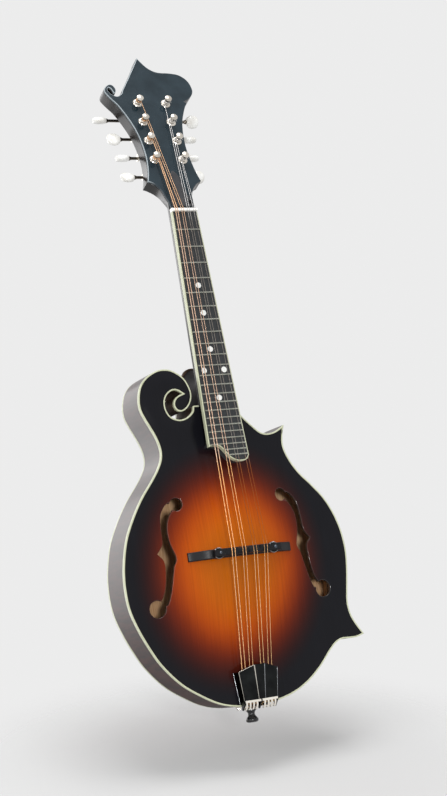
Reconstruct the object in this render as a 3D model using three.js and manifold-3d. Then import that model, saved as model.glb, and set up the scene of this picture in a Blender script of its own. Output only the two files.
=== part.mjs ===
// An f-style mandolin, upright: X to the treble side, Y to the back, Z up the neck, in millimetres.
// The origin is the centre of the end pin's flat outer face.
import * as THREE from 'three';
import { mergeVertices } from 'three/addons/utils/BufferGeometryUtils.js';
import Module from 'manifold-3d';

const wasm = await Module();
wasm.setup();

// Body
const bodyLength = 338.6;
const bodyHalfWidth = 124.9;
const bodyDepth = 44.5;
const plateThickness = 3.5;
const topArch = 14.5;
const backArch = 13;
const recurveDepth = 0.6;
const bindingWidth = 1.5;
const rimWall = 2.2;
const liningWidth = 4;
const liningDepth = 7;
const outlineStep = 13;
const scrollStep = 5;
const blockInset = 28;
const toneBarWidth = 6;
const toneBarHeight = 9;
const toneBarSpread = 22;
const buttonHalfWidth = 17;
const buttonReach = 46;

// Clearances
const seatGap = 0.3;
const runningGap = 0.4;
const overrun = 40;

// Strings and neck
const scaleLength = 352.4;
const bodyFret = 15;
const fretCount = 23;
const neckPitch = THREE.MathUtils.degToRad(5);
const stringPlaneHeight = 27;
const fretHeight = 1;
const fretWidth = 1.3;
const boardThickness = 5;
const boardHalfWidthAtNut = 12.75;
const boardTaper = 0.0254;
const boardTailShare = 0.245;
const boardBindingWidth = 1.2;
const neckDepthAtNut = 13.5;
const neckDepthAtBody = 15.5;
const heelHalfWidth = 16.5;
const heelTopHalfWidth = 18.5;
const heelThroat = 33;
const tenonHalfWidth = 8;
const tenonFlare = 2.5;
const tenonLength = 24;
const rodRadius = 2.4;
const rodChannelDepth = 7;
const nutThickness = 4.4;
const nutHeight = 2;
const nutSlotHeight = 0.4;
const saddleHeight = 4;
const stringNames = ['g', 'd', 'a', 'e'];
const stringGauges = [1.0, 1.0, 0.66, 0.66, 0.38, 0.38, 0.28, 0.28];
const courseSpreadAtNut = 6.8;
const pairGapAtNut = 2.4;
const courseSpreadAtSaddle = 11.9;
const pairGapAtSaddle = 3.3;
const courseSpreadAtTail = 7.6;
const middleGapAtTail = 4.6;
const pairGapAtTail = 3.8;

// Headstock and tuners
const headTilt = THREE.MathUtils.degToRad(12);
const headLength = 195.7;
const headHalfWidth = 53.5;
const headSetback = 3;
const headThickness = 16;
const overlayThickness = 2.2;
const rodCoverThickness = 1.8;
const rodCoverLength = 46;
const rodCoverHalfWidth = 12;
const coverShankRadius = 1;
const coverScrewDepth = 7;
const postSpacing = 24.4;
const firstPostReach = 61;
const postRowSpread = 16.3;
const postRadius = 3;
const postCapRadius = 3.5;
const postWaist = 2.4;
const postHeight = 10.8;
const waistStartShare = 0.28;
const waistEndShare = 0.75;
const windingTurns = 2.5;
const windingGap = 0.45;
const windingSteps = 10;
const stringSides = 5;
const gearTeeth = 14;
const gearRadius = 4.2;
const gearThickness = 3.2;
const wormRadius = 2.2;
const wormLength = 10.4;
const keyShaftRadius = 1.6;
const keyCollarRadius = 2.6;
const tunerPlateThickness = 1.2;
const tunerPlateHalfWidth = 7.3;
const tunerPlateMargin = 8;
const earThickness = 1.6;
const earSpread = 6.5;
const earHalfWidth = 3.2;
const keyStandOff = 4.6;
const buttonLength = 14.6;
const buttonWidth = 14.4;
const buttonThickness = 7.4;
const keyReaches = [40.3, 40.3, 44, 54];
const keyTurns = { bass: [24, 62, 0, 62], treble: [28, 118, 118, 28] };

// Bridge
const bridgeLength = 113;
const bridgeWidth = 9;
const bridgeSetback = 3;
const bridgeCentreThickness = 5.6;
const bridgeEndThickness = 2.6;
const studSpread = 30;
const studRadius = 1.5;
const studSink = 3;
const wheelRadius = 5.6;
const wheelThickness = 2;
const wheelTravel = 1.5;
const saddleHalfLength = 36;
const crestHalfLength = 25;
const saddleWidth = 6.5;
const crestWidth = 2.6;
const saddleEarThickness = 3.6;

// Tailpiece and end pin
const tailHalfWidth = 21.2;
const tailRearHalfWidth = 18.2;
const tailWall = 1;
const tailFlare = 1.5;
const tailLength = 28.2;
const tailPeak = 5;
const tailRidgeHalfWidth = 5.6;
const tailRearRidgeHalfWidth = 3.5;
const tailMouthHeight = 10;
const tailRearHeight = 7.5;
const tailRidgeRise = 4;
const ribRise = 0.7;
const ribHalfWidth = 0.6;
const tailInset = 5.2;
const combBar = 2.5;
const prongWidth = 2.2;
const prongReach = 6.5;
const bracketHalfWidth = 11;
const bracketThickness = 1.4;
const bracketReach = 33;
const pinLength = 15;
const pinHeadRadius = 6.3;
const pinWaistRadius = 3.4;
const pinCollarRadius = 5.2;
const pinPegRadius = 4;
const pinPegLength = 20;
const pinForward = 5;
const screwHeadRadius = 2.6;
const screwShankRadius = 1.3;
const screwLength = 11;
const screwHeadHeight = 1.4;

// Places worked out from the sizes
const bodyBottom = pinLength + bracketThickness + seatGap;
const halfDepth = bodyDepth / 2;
const blockHalfDepth = halfDepth - plateThickness - seatGap;
const jointShare = 0.8858;
const jointZ = bodyBottom + jointShare * bodyLength;
const bodyFretPlace = scaleLength * 2 ** (-bodyFret / 12);
const saddleZ = jointZ - bodyFretPlace * Math.cos(neckPitch);
const neckY = -halfDepth - stringPlaneHeight;
const boardBack = fretHeight + boardThickness;
const neckFront = boardBack + seatGap;
const pinY = -pinForward;
const tailFloor = -halfDepth - seatGap * 4;
const screwY = tailFloor + bracketReach - screwHeadRadius * 1.4;
const screwSpread = bracketHalfWidth - screwHeadRadius * 1.4;

// Points of the outlines, as shares of the body's half width and of its length from the tail
const shoulderShares = [
  [0.189, 0.865], [0.24, 0.84], [0.308, 0.814], [0.379, 0.791], [0.432, 0.786], [0.496, 0.789],
  [0.552, 0.798], [0.6, 0.809],
];
const waistShares = [
  [0.573, 0.775], [0.566, 0.745], [0.596, 0.708], [0.669, 0.663], [0.77, 0.622], [0.869, 0.577],
  [0.941, 0.525], [0.985, 0.47], [1, 0.414], [0.99, 0.364], [0.965, 0.308], [0.943, 0.255],
  [0.955, 0.219], [0.995, 0.188], [1.049, 0.157],
];
const boutShares = [
  [0.977, 0.15], [0.897, 0.15], [0.829, 0.15], [0.773, 0.141], [0.717, 0.123], [0.61, 0.082],
  [0.476, 0.043], [0.339, 0.018], [0.176, 0.003], [0, 0], [-0.176, 0.003], [-0.327, 0.018],
  [-0.488, 0.051], [-0.628, 0.089], [-0.773, 0.151], [-0.853, 0.203], [-0.918, 0.255], [-0.97, 0.314],
  [-0.984, 0.372], [-0.978, 0.416], [-0.959, 0.458], [-0.917, 0.514], [-0.843, 0.57], [-0.749, 0.625],
  [-0.629, 0.68], [-0.576, 0.707], [-0.538, 0.735], [-0.53, 0.761], [-0.548, 0.792], [-0.594, 0.831],
];
const scrollShares = [
  [-0.629, 0.857], [-0.656, 0.884], [-0.66, 0.905], [-0.651, 0.927], [-0.625, 0.954], [-0.578, 0.975],
  [-0.52, 0.989], [-0.46, 0.998], [-0.404, 1], [-0.348, 0.997], [-0.291, 0.986], [-0.24, 0.97],
  [-0.21, 0.95], [-0.193, 0.928], [-0.197, 0.908], [-0.221, 0.89], [-0.256, 0.877], [-0.296, 0.871],
  [-0.333, 0.874], [-0.355, 0.885], [-0.357, 0.898], [-0.341, 0.909], [-0.312, 0.918], [-0.269, 0.924],
];
const slotShares = [
  [-0.3, 0.932], [-0.339, 0.936], [-0.379, 0.931], [-0.412, 0.92], [-0.432, 0.905], [-0.435, 0.888],
  [-0.424, 0.872], [-0.399, 0.858], [-0.36, 0.85], [-0.316, 0.847], [-0.268, 0.851], [-0.227, 0.86],
  [-0.2, 0.871], [-0.191, 0.885],
];
const archRimShares = [
  [0, 0.036], [0.416, 0.075], [0.737, 0.19], [0.897, 0.376], [0.825, 0.532], [0.608, 0.662],
  [0.456, 0.757], [0.272, 0.81], [0, 0.837],
];
const archCentreShare = 0.42;
const archRingShares = [0.2, 0.4, 0.58, 0.74, 0.87, 1];
const flatReachShare = 2.6;
const recurveStartShare = 0.72;
const upperEyeShares = [0.467, 0.599];
const lowerEyeShares = [0.733, 0.307];
const upperEyeRadiusShare = 0.039;
const lowerEyeRadiusShare = 0.057;
const fUpperOuterShares = [
  [0.48, 0.613], [0.548, 0.602], [0.602, 0.575], [0.621, 0.527], [0.629, 0.488], [0.679, 0.462],
];
const fLowerOuterShares = [[0.637, 0.441], [0.635, 0.403], [0.66, 0.355], [0.697, 0.327]];
const fLowerInnerShares = [[0.673, 0.296], [0.624, 0.332], [0.592, 0.373], [0.562, 0.42]];
const fUpperInnerShares = [
  [0.535, 0.442], [0.568, 0.491], [0.572, 0.53], [0.55, 0.558], [0.502, 0.582], [0.461, 0.584],
];

// Points of the headstock's outline, as shares of its half width and of its length from the nut
const headTrebleShares = [
  [0.25, 0.004], [0.284, 0.083], [0.346, 0.122], [0.42, 0.147], [0.497, 0.165], [0.568, 0.175],
];
const headTrebleSideShares = [
  [0.52, 0.232], [0.49, 0.297], [0.469, 0.37], [0.477, 0.436], [0.514, 0.509], [0.566, 0.569],
  [0.641, 0.621], [0.721, 0.667], [0.789, 0.696],
];
const headBulbShares = [
  [0.731, 0.705], [0.783, 0.714], [0.871, 0.728], [0.955, 0.752], [1, 0.778], [0.996, 0.816],
  [0.955, 0.849], [0.882, 0.873], [0.776, 0.891], [0.66, 0.897], [0.54, 0.9], [0.419, 0.9],
  [0.301, 0.905], [0.194, 0.92], [0.108, 0.942], [0.03, 0.974], [-0.028, 1],
];
const headCrownShares = [[-0.062, 0.981], [-0.226, 0.908], [-0.389, 0.838], [-0.544, 0.773]];
const headValleyShares = [
  [-0.58, 0.752], [-0.64, 0.738], [-0.7, 0.731], [-0.77, 0.738], [-0.845, 0.757], [-0.862, 0.776],
  [-0.83, 0.789], [-0.79, 0.783], [-0.765, 0.766], [-0.75, 0.75],
];
const headCurlShares = [
  [-0.71, 0.755], [-0.684, 0.771], [-0.693, 0.79], [-0.727, 0.805], [-0.783, 0.811], [-0.845, 0.804],
  [-0.907, 0.789], [-0.944, 0.763], [-0.9, 0.735], [-0.828, 0.705], [-0.75, 0.676], [-0.65, 0.618],
  [-0.557, 0.55], [-0.495, 0.482], [-0.465, 0.415], [-0.458, 0.343], [-0.479, 0.281], [-0.518, 0.224],
  [-0.576, 0.172],
];
const headBassShares = [
  [-0.5, 0.164], [-0.42, 0.147], [-0.346, 0.119], [-0.299, 0.077], [-0.264, 0.042], [-0.25, 0.004],
];
const coverShares = [
  [-1, 0.04], [-0.94, 0.22], [-0.6, 0.45], [-0.5, 0.7], [-0.36, 0.88], [0, 1],
  [0.36, 0.88], [0.5, 0.7], [0.6, 0.45], [0.94, 0.22], [1, 0.04],
];
const boardEndShares = [
  [-1, 0.19], [-0.8, 0.198], [-0.45, 0.186], [-0.2, 0.12], [0.02, 0.05], [0.32, 0.008],
  [0.6, 0], [0.86, 0.015], [1, 0.06],
];
const boardEndLengthShare = 4.2;
const pinShares = [
  [0.72, 0], [0.96, 0.07], [1, 0.18], [0.8, 0.33],
];

// Finishes
function finish(color, roughness, metalness) {
  return new THREE.MeshStandardMaterial({ color, roughness, metalness, flatShading: true });
}
const topWood = finish(0x9c3f16, 0.2, 0);
const darkWood = finish(0x2c1513, 0.25, 0);
const bareWood = finish(0xc49a63, 0.6, 0);
const ivory = finish(0xe4e0bb, 0.4, 0);
const ebony = finish(0x232425, 0.45, 0);
const blackLacquer = finish(0x12151a, 0.15, 0);
const bone = finish(0xf2efe2, 0.4, 0);
const nickel = finish(0xc9c6bd, 0.2, 1);
const bronze = finish(0xc08a5c, 0.35, 1);
const steel = finish(0xcfd1d4, 0.25, 1);
const pearl = finish(0xf0eee8, 0.3, 0);

// Solids and meshes
function solidOf(geometry) {
  const bare = geometry.clone();
  bare.deleteAttribute('normal');
  bare.deleteAttribute('uv');
  const merged = mergeVertices(bare);
  const vertProperties = new Float32Array(merged.attributes.position.array);
  const triVerts = new Uint32Array(merged.index.array);
  return new wasm.Manifold(new wasm.Mesh({ numProp: 3, vertProperties, triVerts }));
}

function geometryOf(solid) {
  const mesh = solid.getMesh();
  const geometry = new THREE.BufferGeometry();
  geometry.setAttribute('position', new THREE.BufferAttribute(new Float32Array(mesh.vertProperties), 3));
  geometry.setIndex(new THREE.BufferAttribute(new Uint32Array(mesh.triVerts), 1));
  geometry.computeVertexNormals();
  return geometry;
}

function piece(parent, name, solid, material) {
  const mesh = new THREE.Mesh(geometryOf(solid), material);
  mesh.name = name;
  parent.add(mesh);
  return mesh;
}

// Outlines lie in the XZ plane and run anticlockwise as seen from the front
function smooth(points, step, closed = false) {
  const places = points.map(([x, z]) => new THREE.Vector3(x, z, 0));
  const curve = new THREE.CatmullRomCurve3(places, closed, 'centripetal');
  const count = Math.max(points.length - 1, Math.round(curve.getLength() / step));
  const spaced = curve.getSpacedPoints(count).map((point) => new THREE.Vector2(point.x, point.y));
  return closed ? spaced.slice(0, -1) : spaced;
}

function joined(runs) {
  const outline = [];
  for (const run of runs) {
    for (const point of run) {
      const last = outline.at(-1);
      if (!last || last.distanceTo(point) > seatGap) outline.push(point);
    }
  }
  if (outline[0].distanceTo(outline.at(-1)) < seatGap) outline.pop();
  return THREE.ShapeUtils.area(outline) < 0 ? outline.reverse() : outline;
}

// Moves an outline outwards by a distance, or inwards where it is negative, with mitred corners
function offset(outline, distance) {
  const sharpestShare = 0.35;
  return outline.map((point, index) => {
    const before = new THREE.Vector2().subVectors(point, outline.at(index - 1)).normalize();
    const after = new THREE.Vector2().subVectors(outline[(index + 1) % outline.length], point).normalize();
    const normal = new THREE.Vector2(before.y + after.y, -before.x - after.x).normalize();
    const spread = Math.max(normal.x * before.y - normal.y * before.x, sharpestShare);
    return point.clone().addScaledVector(normal, distance / spread);
  });
}

function flip(outline) {
  return outline.map((point) => new THREE.Vector2(-point.x, point.y)).reverse();
}

// Extrudes an outline in XZ from one depth to another, in XY up a height, or in YZ across a width
function prism(outline, front, back, holes = []) {
  const shape = new THREE.Shape(outline);
  shape.holes = holes.map((hole) => new THREE.Path(hole));
  const block = new THREE.ExtrudeGeometry(shape, { depth: back - front, bevelEnabled: false });
  return solidOf(block.rotateX(Math.PI / 2).translate(0, back, 0));
}

function prismUp(outline, low, high) {
  const shape = new THREE.Shape(outline);
  const block = new THREE.ExtrudeGeometry(shape, { depth: high - low, bevelEnabled: false });
  return solidOf(block.translate(0, 0, low));
}

function prismAcross(outline, left, right) {
  const shape = new THREE.Shape(outline);
  const block = new THREE.ExtrudeGeometry(shape, { depth: right - left, bevelEnabled: false });
  return solidOf(block.rotateX(Math.PI / 2).rotateZ(Math.PI / 2).translate(left, 0, 0));
}

function vectors(points) {
  return points.map(([x, y]) => new THREE.Vector2(x, y));
}

function box(low, high) {
  const block = new THREE.BoxGeometry(high[0] - low[0], high[1] - low[1], high[2] - low[2]);
  return solidOf(block.translate((low[0] + high[0]) / 2, (low[1] + high[1]) / 2, (low[2] + high[2]) / 2));
}

// Turns a profile of [radius, height] points about X, Y or Z through a centre
function turned(profile, segments, axis, centre) {
  const lathe = new THREE.LatheGeometry(vectors(profile), segments);
  if (axis === 'x') lathe.rotateZ(-Math.PI / 2);
  if (axis === 'z') lathe.rotateX(Math.PI / 2);
  return solidOf(lathe.translate(...centre));
}

function rod(radius, low, high, segments, axis, centre) {
  return turned([[0, low], [radius, low], [radius, high], [0, high]], segments, axis, centre);
}

// A screw's profile: its head lies below zero and its shank above
function screwProfile(headRadius, headHeight, shankRadius, depth) {
  return [
    [0, -headHeight], [headRadius * 0.7, -headHeight], [headRadius, -headHeight * 0.4], [headRadius, 0],
    [shankRadius, 0], [shankRadius, depth * 0.8], [0, depth],
  ];
}

function union(solids) {
  return solids.reduce((whole, next) => whole.add(next));
}

function inverse(matrix) {
  return matrix.clone().invert();
}

function moved(solid, matrix) {
  return solid.transform(matrix.elements);
}

// Joins rings of points into a closed solid: place(point, index) puts each ring in space
function loft(sections, place) {
  const clockwise = THREE.ShapeUtils.area(sections[0]) < 0;
  const rings = sections.map((ring) => (clockwise ? ring.toReversed() : ring));
  const count = rings[0].length;
  const points = rings.flatMap((ring, index) => ring.map((point) => place(point, index)));
  const faces = [];
  for (let ring = 0; ring + 1 < rings.length; ring++) {
    for (let side = 0; side < count; side++) {
      const a = ring * count + side;
      const b = ring * count + (side + 1) % count;
      faces.push(a, b, b + count, a, b + count, a + count);
    }
  }
  const last = (rings.length - 1) * count;
  for (const [a, b, c] of THREE.ShapeUtils.triangulateShape(rings[0], [])) {
    faces.push(a, c, b);
  }
  for (const [a, b, c] of THREE.ShapeUtils.triangulateShape(rings.at(-1), [])) {
    faces.push(last + a, last + b, last + c);
  }
  return closedSolid(points, faces);
}

function closedSolid(points, faces) {
  const centre = points[0];
  const volume = new THREE.Vector3();
  let sum = 0;
  for (let face = 0; face < faces.length; face += 3) {
    const [a, b, c] = [0, 1, 2].map((corner) => points[faces[face + corner]].clone().sub(centre));
    sum += volume.crossVectors(a, b).dot(c);
  }
  const outward = sum > 0 ? faces : faces.toReversed();
  const geometry = new THREE.BufferGeometry().setFromPoints(points);
  geometry.setIndex(outward);
  return solidOf(geometry);
}

// A round wire through a list of points
function wire(points, radius, sides) {
  const ring = Array.from({ length: sides }, (_, side) => {
    const angle = (side / sides) * 2 * Math.PI;
    return new THREE.Vector2(radius * Math.cos(angle), radius * Math.sin(angle));
  });
  const tangents = points.map((point, index) => {
    const before = points[Math.max(index - 1, 0)];
    const after = points[Math.min(index + 1, points.length - 1)];
    return new THREE.Vector3().subVectors(after, before).normalize();
  });
  let across = new THREE.Vector3(1, 0, 0).cross(tangents[0]).normalize();
  const frames = tangents.map((tangent) => {
    across = across.clone().addScaledVector(tangent, -across.dot(tangent)).normalize();
    return [across, new THREE.Vector3().crossVectors(tangent, across)];
  });
  return loft(points.map(() => ring), (point, index) => {
    const [side, up] = frames[index];
    return points[index].clone().addScaledVector(side, point.x).addScaledVector(up, point.y);
  });
}

// Body outlines
const bodyPlace = ([acrossShare, alongShare]) => (
  [acrossShare * bodyHalfWidth, bodyBottom + alongShare * bodyLength]
);
const joint = bodyFretPlace;
const boardHalfWidth = (fromNut) => boardHalfWidthAtNut + boardTaper * fromNut;
const neckHalfWidth = (fromNut) => boardHalfWidth(fromNut) + seatGap + boardBindingWidth;
const jointHalfWidth = neckHalfWidth(scaleLength - joint) + bindingWidth;
const shoulder = shoulderShares.map(bodyPlace);
const waist = waistShares.map(bodyPlace);
const bout = boutShares.map(bodyPlace);
const scroll = scrollShares.map(bodyPlace);
const slot = slotShares.map(bodyPlace);
const upperTip = shoulder.at(-1);
const lowerTip = waist.at(-1);
const slotTip = scroll.at(-1);
const bodyRuns = [
  smooth([[jointHalfWidth, jointZ], ...shoulder], outlineStep),
  smooth([upperTip, ...waist], outlineStep),
  smooth([lowerTip, ...bout, ...scroll.slice(0, 3)], outlineStep),
  smooth([...scroll.slice(2)], scrollStep),
  smooth([slotTip, ...slot, [-jointHalfWidth, jointZ]], scrollStep),
];
const bodyOutline = joined(bodyRuns);
const heelButton = smooth([
  [-jointHalfWidth, jointZ],
  [-buttonHalfWidth, jointZ + buttonReach / 4],
  [-buttonHalfWidth, jointZ + buttonReach / 2],
  [-buttonHalfWidth / 2, jointZ + buttonReach * 0.94],
  [0, jointZ + buttonReach],
  [buttonHalfWidth / 2, jointZ + buttonReach * 0.94],
  [buttonHalfWidth, jointZ + buttonReach / 2],
  [buttonHalfWidth, jointZ + buttonReach / 4],
  [jointHalfWidth, jointZ],
], outlineStep);
const backOutline = joined([...bodyRuns, heelButton]);
const soundBoxOutline = joined([
  smooth([...shoulder.slice(1, 5), ...waist.slice(2, -3), ...bout.slice(4)], outlineStep, true),
]);
const plateOffset = -bindingWidth - seatGap;
const innerOffset = -rimWall - seatGap;

// The arch: rings between a centre and the line where the plates run flat
const archSectors = 32;
const archMirrorShares = archRimShares.slice(1, -1).reverse().map(([across, along]) => [-across, along]);
const archRimPoints = [...archRimShares, ...archMirrorShares].map(bodyPlace);
const archRimLine = smooth(archRimPoints, outlineStep, true);
const archRimCurve = new THREE.CatmullRomCurve3(
  archRimPoints.map(([x, z]) => new THREE.Vector3(x, z, 0)), true, 'centripetal',
);
const archRim = THREE.ShapeUtils.area(archRimLine) < 0
  ? archRimCurve.getSpacedPoints(archSectors).slice(0, -1).reverse()
  : archRimCurve.getSpacedPoints(archSectors).slice(0, -1);
const archCentre = new THREE.Vector3(0, bodyBottom + archCentreShare * bodyLength, 0);

function archRise(share, height) {
  if (share >= 1) return 0;
  const recurve = Math.max((share - recurveStartShare) / (1 - recurveStartShare), 0);
  return height * Math.cos((share * Math.PI) / 2) ** 2 - recurveDepth * Math.sin(Math.PI * recurve) ** 2;
}

// A slab between two surfaces that lie at given distances behind the top's or the back's outer face
function archSlab(side, height, near, far) {
  const depths = side < 0 ? [near, far] : [far, near];
  const rings = [...archRingShares, flatReachShare];
  const points = [];
  for (const depth of depths) {
    const level = (share) => side * (halfDepth + archRise(share, height) - depth);
    points.push(new THREE.Vector3(archCentre.x, level(0), archCentre.y));
    for (const share of rings) {
      for (const rim of archRim) {
        const place = archCentre.clone().lerp(rim, share);
        points.push(new THREE.Vector3(place.x, level(share), place.y));
      }
    }
  }
  const layer = points.length / 2;
  const at = (ring, sector) => 1 + ring * archSectors + (sector % archSectors);
  const faces = [];
  const face = (a, b, c) => faces.push(a, b, c, layer + a, layer + c, layer + b);
  for (let sector = 0; sector < archSectors; sector++) {
    face(0, at(0, sector), at(0, sector + 1));
    for (let ring = 0; ring + 1 < rings.length; ring++) {
      face(at(ring, sector), at(ring + 1, sector), at(ring + 1, sector + 1));
      face(at(ring, sector), at(ring + 1, sector + 1), at(ring, sector + 1));
    }
    const a = at(rings.length - 1, sector);
    const b = at(rings.length - 1, sector + 1);
    faces.push(a, layer + a, layer + b, a, layer + b, b);
  }
  return closedSolid(points, faces);
}

const mandolin = new THREE.Group();

// Plates, rims and what lies inside
function fHole(side) {
  const eye = (shares, radiusShare) => {
    const [x, z] = bodyPlace(shares);
    return rod(radiusShare * bodyHalfWidth, -overrun, overrun, 14, 'y', [x, -halfDepth, z]);
  };
  const stem = joined([
    smooth(fUpperOuterShares.map(bodyPlace), scrollStep * 2),
    smooth([fUpperOuterShares.at(-1), ...fLowerOuterShares].map(bodyPlace), scrollStep * 2),
    smooth(fLowerInnerShares.map(bodyPlace), scrollStep * 2),
    smooth([fLowerInnerShares.at(-1), ...fUpperInnerShares].map(bodyPlace), scrollStep * 2),
  ]);
  const hole = union([
    prism(stem, -halfDepth - overrun, -halfDepth + overrun),
    eye(upperEyeShares, upperEyeRadiusShare),
    eye(lowerEyeShares, lowerEyeRadiusShare),
  ]);
  return side > 0 ? hole : hole.mirror([1, 0, 0]);
}

const wholeDepth = [-halfDepth - overrun, halfDepth + overrun];
const topPlate = archSlab(-1, topArch, 0, plateThickness)
  .intersect(prism(offset(bodyOutline, plateOffset), ...wholeDepth))
  .subtract(fHole(1))
  .subtract(fHole(-1));
piece(mandolin, 'top_plate', topPlate, topWood);
const backPlate = archSlab(1, backArch, 0, plateThickness)
  .intersect(prism(offset(backOutline, plateOffset), ...wholeDepth));
piece(mandolin, 'back_plate', backPlate, darkWood);
const plateEdge = halfDepth - plateThickness;
const bindingRing = (outline, front, back) => prism(outline, front, back, [offset(outline, -bindingWidth)]);
piece(mandolin, 'top_binding', bindingRing(bodyOutline, -halfDepth, -plateEdge), ivory);
piece(mandolin, 'back_binding', bindingRing(backOutline, plateEdge, halfDepth), ivory);

const tenonFront = -blockHalfDepth;
const tenonBack = halfDepth / 2;
function tenon(gap) {
  const inner = jointZ - tenonLength - gap;
  const half = tenonHalfWidth + gap;
  return prism(vectors([
    [-half, jointZ + overrun], [-half, jointZ], [-half - tenonFlare, inner],
    [half + tenonFlare, inner], [half, jointZ], [half, jointZ + overrun],
  ]).reverse(), tenonFront - gap, tenonBack + gap);
}
const screwTop = bodyBottom + screwLength;
const screwHoles = union([-1, 1].map((sign) => (
  rod(screwShankRadius + seatGap, 0, screwTop + seatGap, 8, 'z', [sign * screwSpread, screwY, 0])
)));
const pinTop = bodyBottom + pinPegLength;
const pinHole = rod(pinPegRadius + seatGap, 0, pinTop + seatGap, 12, 'z', [0, pinY, 0]);
const rims = prism(bodyOutline, -blockHalfDepth, blockHalfDepth, [offset(bodyOutline, -rimWall)])
  .subtract(tenon(seatGap))
  .subtract(pinHole)
  .subtract(screwHoles);
piece(mandolin, 'rims', rims, darkWood);

const innerBody = prism(offset(bodyOutline, innerOffset), -blockHalfDepth, blockHalfDepth);
const blockLevel = jointZ - blockInset;
function innerPart(left, right, low, high, growth = 0) {
  return innerBody.intersect(box(
    [left - growth, -halfDepth, low - growth], [right + growth, halfDepth, high + growth],
  ));
}
const scrollTop = bodyBottom + bodyLength;
const headBlockArea = [-bodyHalfWidth, bodyHalfWidth * 0.36, blockLevel, scrollTop];
const tailBlockHalf = bodyHalfWidth * 0.26;
const tailBlockArea = [-tailBlockHalf, tailBlockHalf, bodyBottom, pinTop + seatGap * 2];
piece(mandolin, 'head_block', innerPart(...headBlockArea).subtract(tenon(seatGap)), bareWood);
const tailBlock = innerPart(...tailBlockArea).subtract(pinHole).subtract(screwHoles);
piece(mandolin, 'tail_block', tailBlock, bareWood);
const pointArea = prism(offset(soundBoxOutline, seatGap - rimWall), -halfDepth, halfDepth);
const upperPoint = innerPart(
  bodyHalfWidth * 0.45, bodyHalfWidth * 0.64, upperTip[1] - blockInset, upperTip[1] + seatGap,
);
piece(mandolin, 'upper_point_block', upperPoint.subtract(pointArea), bareWood);
const lowerPoint = innerPart(
  bodyHalfWidth * 0.8, bodyHalfWidth * 1.06, lowerTip[1] - seatGap, lowerTip[1] + blockInset,
);
piece(mandolin, 'lower_point_block', lowerPoint.subtract(pointArea), bareWood);

const liningOuter = offset(soundBoxOutline, -rimWall);
const liningInner = offset(soundBoxOutline, -rimWall - liningWidth);
const liningRing = prism(liningOuter, ...wholeDepth, [liningInner])
  .intersect(innerBody)
  .subtract(innerPart(...headBlockArea, seatGap))
  .subtract(innerPart(...tailBlockArea, seatGap));
const sides = { bass: -1, treble: 1 };
for (const [side, sign] of Object.entries(sides)) {
  const left = sign < 0 ? -bodyHalfWidth * 2 : 0;
  const right = sign < 0 ? 0 : bodyHalfWidth * 2;
  const span = (front, back) => liningRing.intersect(box([left, front, 0], [right, back, bodyLength * 2]));
  piece(mandolin, `top_lining_${side}`, span(-blockHalfDepth, liningDepth - blockHalfDepth), bareWood);
  piece(mandolin, `back_lining_${side}`, span(blockHalfDepth - liningDepth, blockHalfDepth), bareWood);
}

// Tone bars under the top, cut to its inner face
const underTop = archSlab(-1, topArch, -overrun, plateThickness + seatGap);
for (const [side, sign] of Object.entries(sides)) {
  const length = bodyLength * 0.56;
  const low = bodyBottom + bodyLength * 0.16;
  const front = -halfDepth - topArch;
  const end = seatGap - plateEdge;
  const deep = front + plateThickness + toneBarHeight;
  const bar = prismAcross(vectors([
    [front, low + length], [front, low], [end, low], [deep, low + length / 3],
    [deep, low + length * 2 / 3], [end, low + length],
  ]), -toneBarWidth / 2, toneBarWidth / 2);
  const lean = new THREE.Matrix4().makeTranslation(sign * toneBarSpread, 0, 0);
  piece(mandolin, `tone_bar_${side}`, moved(bar, lean).subtract(underTop), bareWood);
}

// Neck frame: its origin lies under the strings at the saddle, in the plane of the frets
const neckGroup = new THREE.Group();
neckGroup.position.set(0, neckY, saddleZ);
neckGroup.rotation.x = -neckPitch;
mandolin.add(neckGroup);
const headGroup = new THREE.Group();
const nutTop = scaleLength + nutThickness;
headGroup.position.set(0, headSetback, nutTop);
headGroup.rotation.x = -headTilt;
neckGroup.add(headGroup);
mandolin.updateMatrixWorld(true);
const toNeck = inverse(neckGroup.matrixWorld);
const headInNeck = headGroup.matrix;

// Headstock outline
const headPlace = ([acrossShare, alongShare]) => [acrossShare * headHalfWidth, alongShare * headLength];
const headTreble = headTrebleShares.map(headPlace);
const headTrebleSide = headTrebleSideShares.map(headPlace);
const headBulb = headBulbShares.map(headPlace);
const headCrown = headCrownShares.map(headPlace);
const headValley = headValleyShares.map(headPlace);
const headCurl = headCurlShares.map(headPlace);
const headBass = headBassShares.map(headPlace);
const headOutline = joined([
  smooth(headTreble, scrollStep * 2),
  smooth([headTreble.at(-1), ...headTrebleSide], outlineStep),
  smooth([headTrebleSide.at(-1), headBulb[0]], scrollStep * 2),
  smooth(headBulb, scrollStep * 2),
  smooth([headBulb.at(-1), ...headCrown], outlineStep),
  smooth([headCrown.at(-1), ...headValley], scrollStep),
  smooth([headValley.at(-1), ...headCurl], scrollStep * 2),
  smooth([headCurl.at(-1), ...headBass], scrollStep * 2),
]);
const posts = [];
for (const [side, sign] of Object.entries(sides)) {
  for (let row = 0; row < 4; row++) {
    posts.push({ side, sign, row, x: sign * postRowSpread, z: firstPostReach + row * postSpacing });
  }
}
const postHoles = union(posts.map(({ x, z }) => (
  rod(postRadius + runningGap, -overrun, overrun, 10, 'y', [x, 0, z])
)));
const coverScrews = [-1, 1].map((sign) => [sign * rodCoverHalfWidth * 0.72, rodCoverLength * 0.14]);
const coverScrewHoles = union(coverScrews.map(([x, z]) => (
  rod(coverShankRadius + seatGap, -overrun, coverScrewDepth + seatGap, 8, 'y', [x, 0, z])
)));
const pocketHalf = rodRadius + seatGap * 2;
const rodFloor = neckFront + rodChannelDepth;
const rodPocket = box(
  [-pocketHalf, -overrun, -nutThickness], [pocketHalf, rodFloor, rodCoverLength * 0.6],
);
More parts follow.
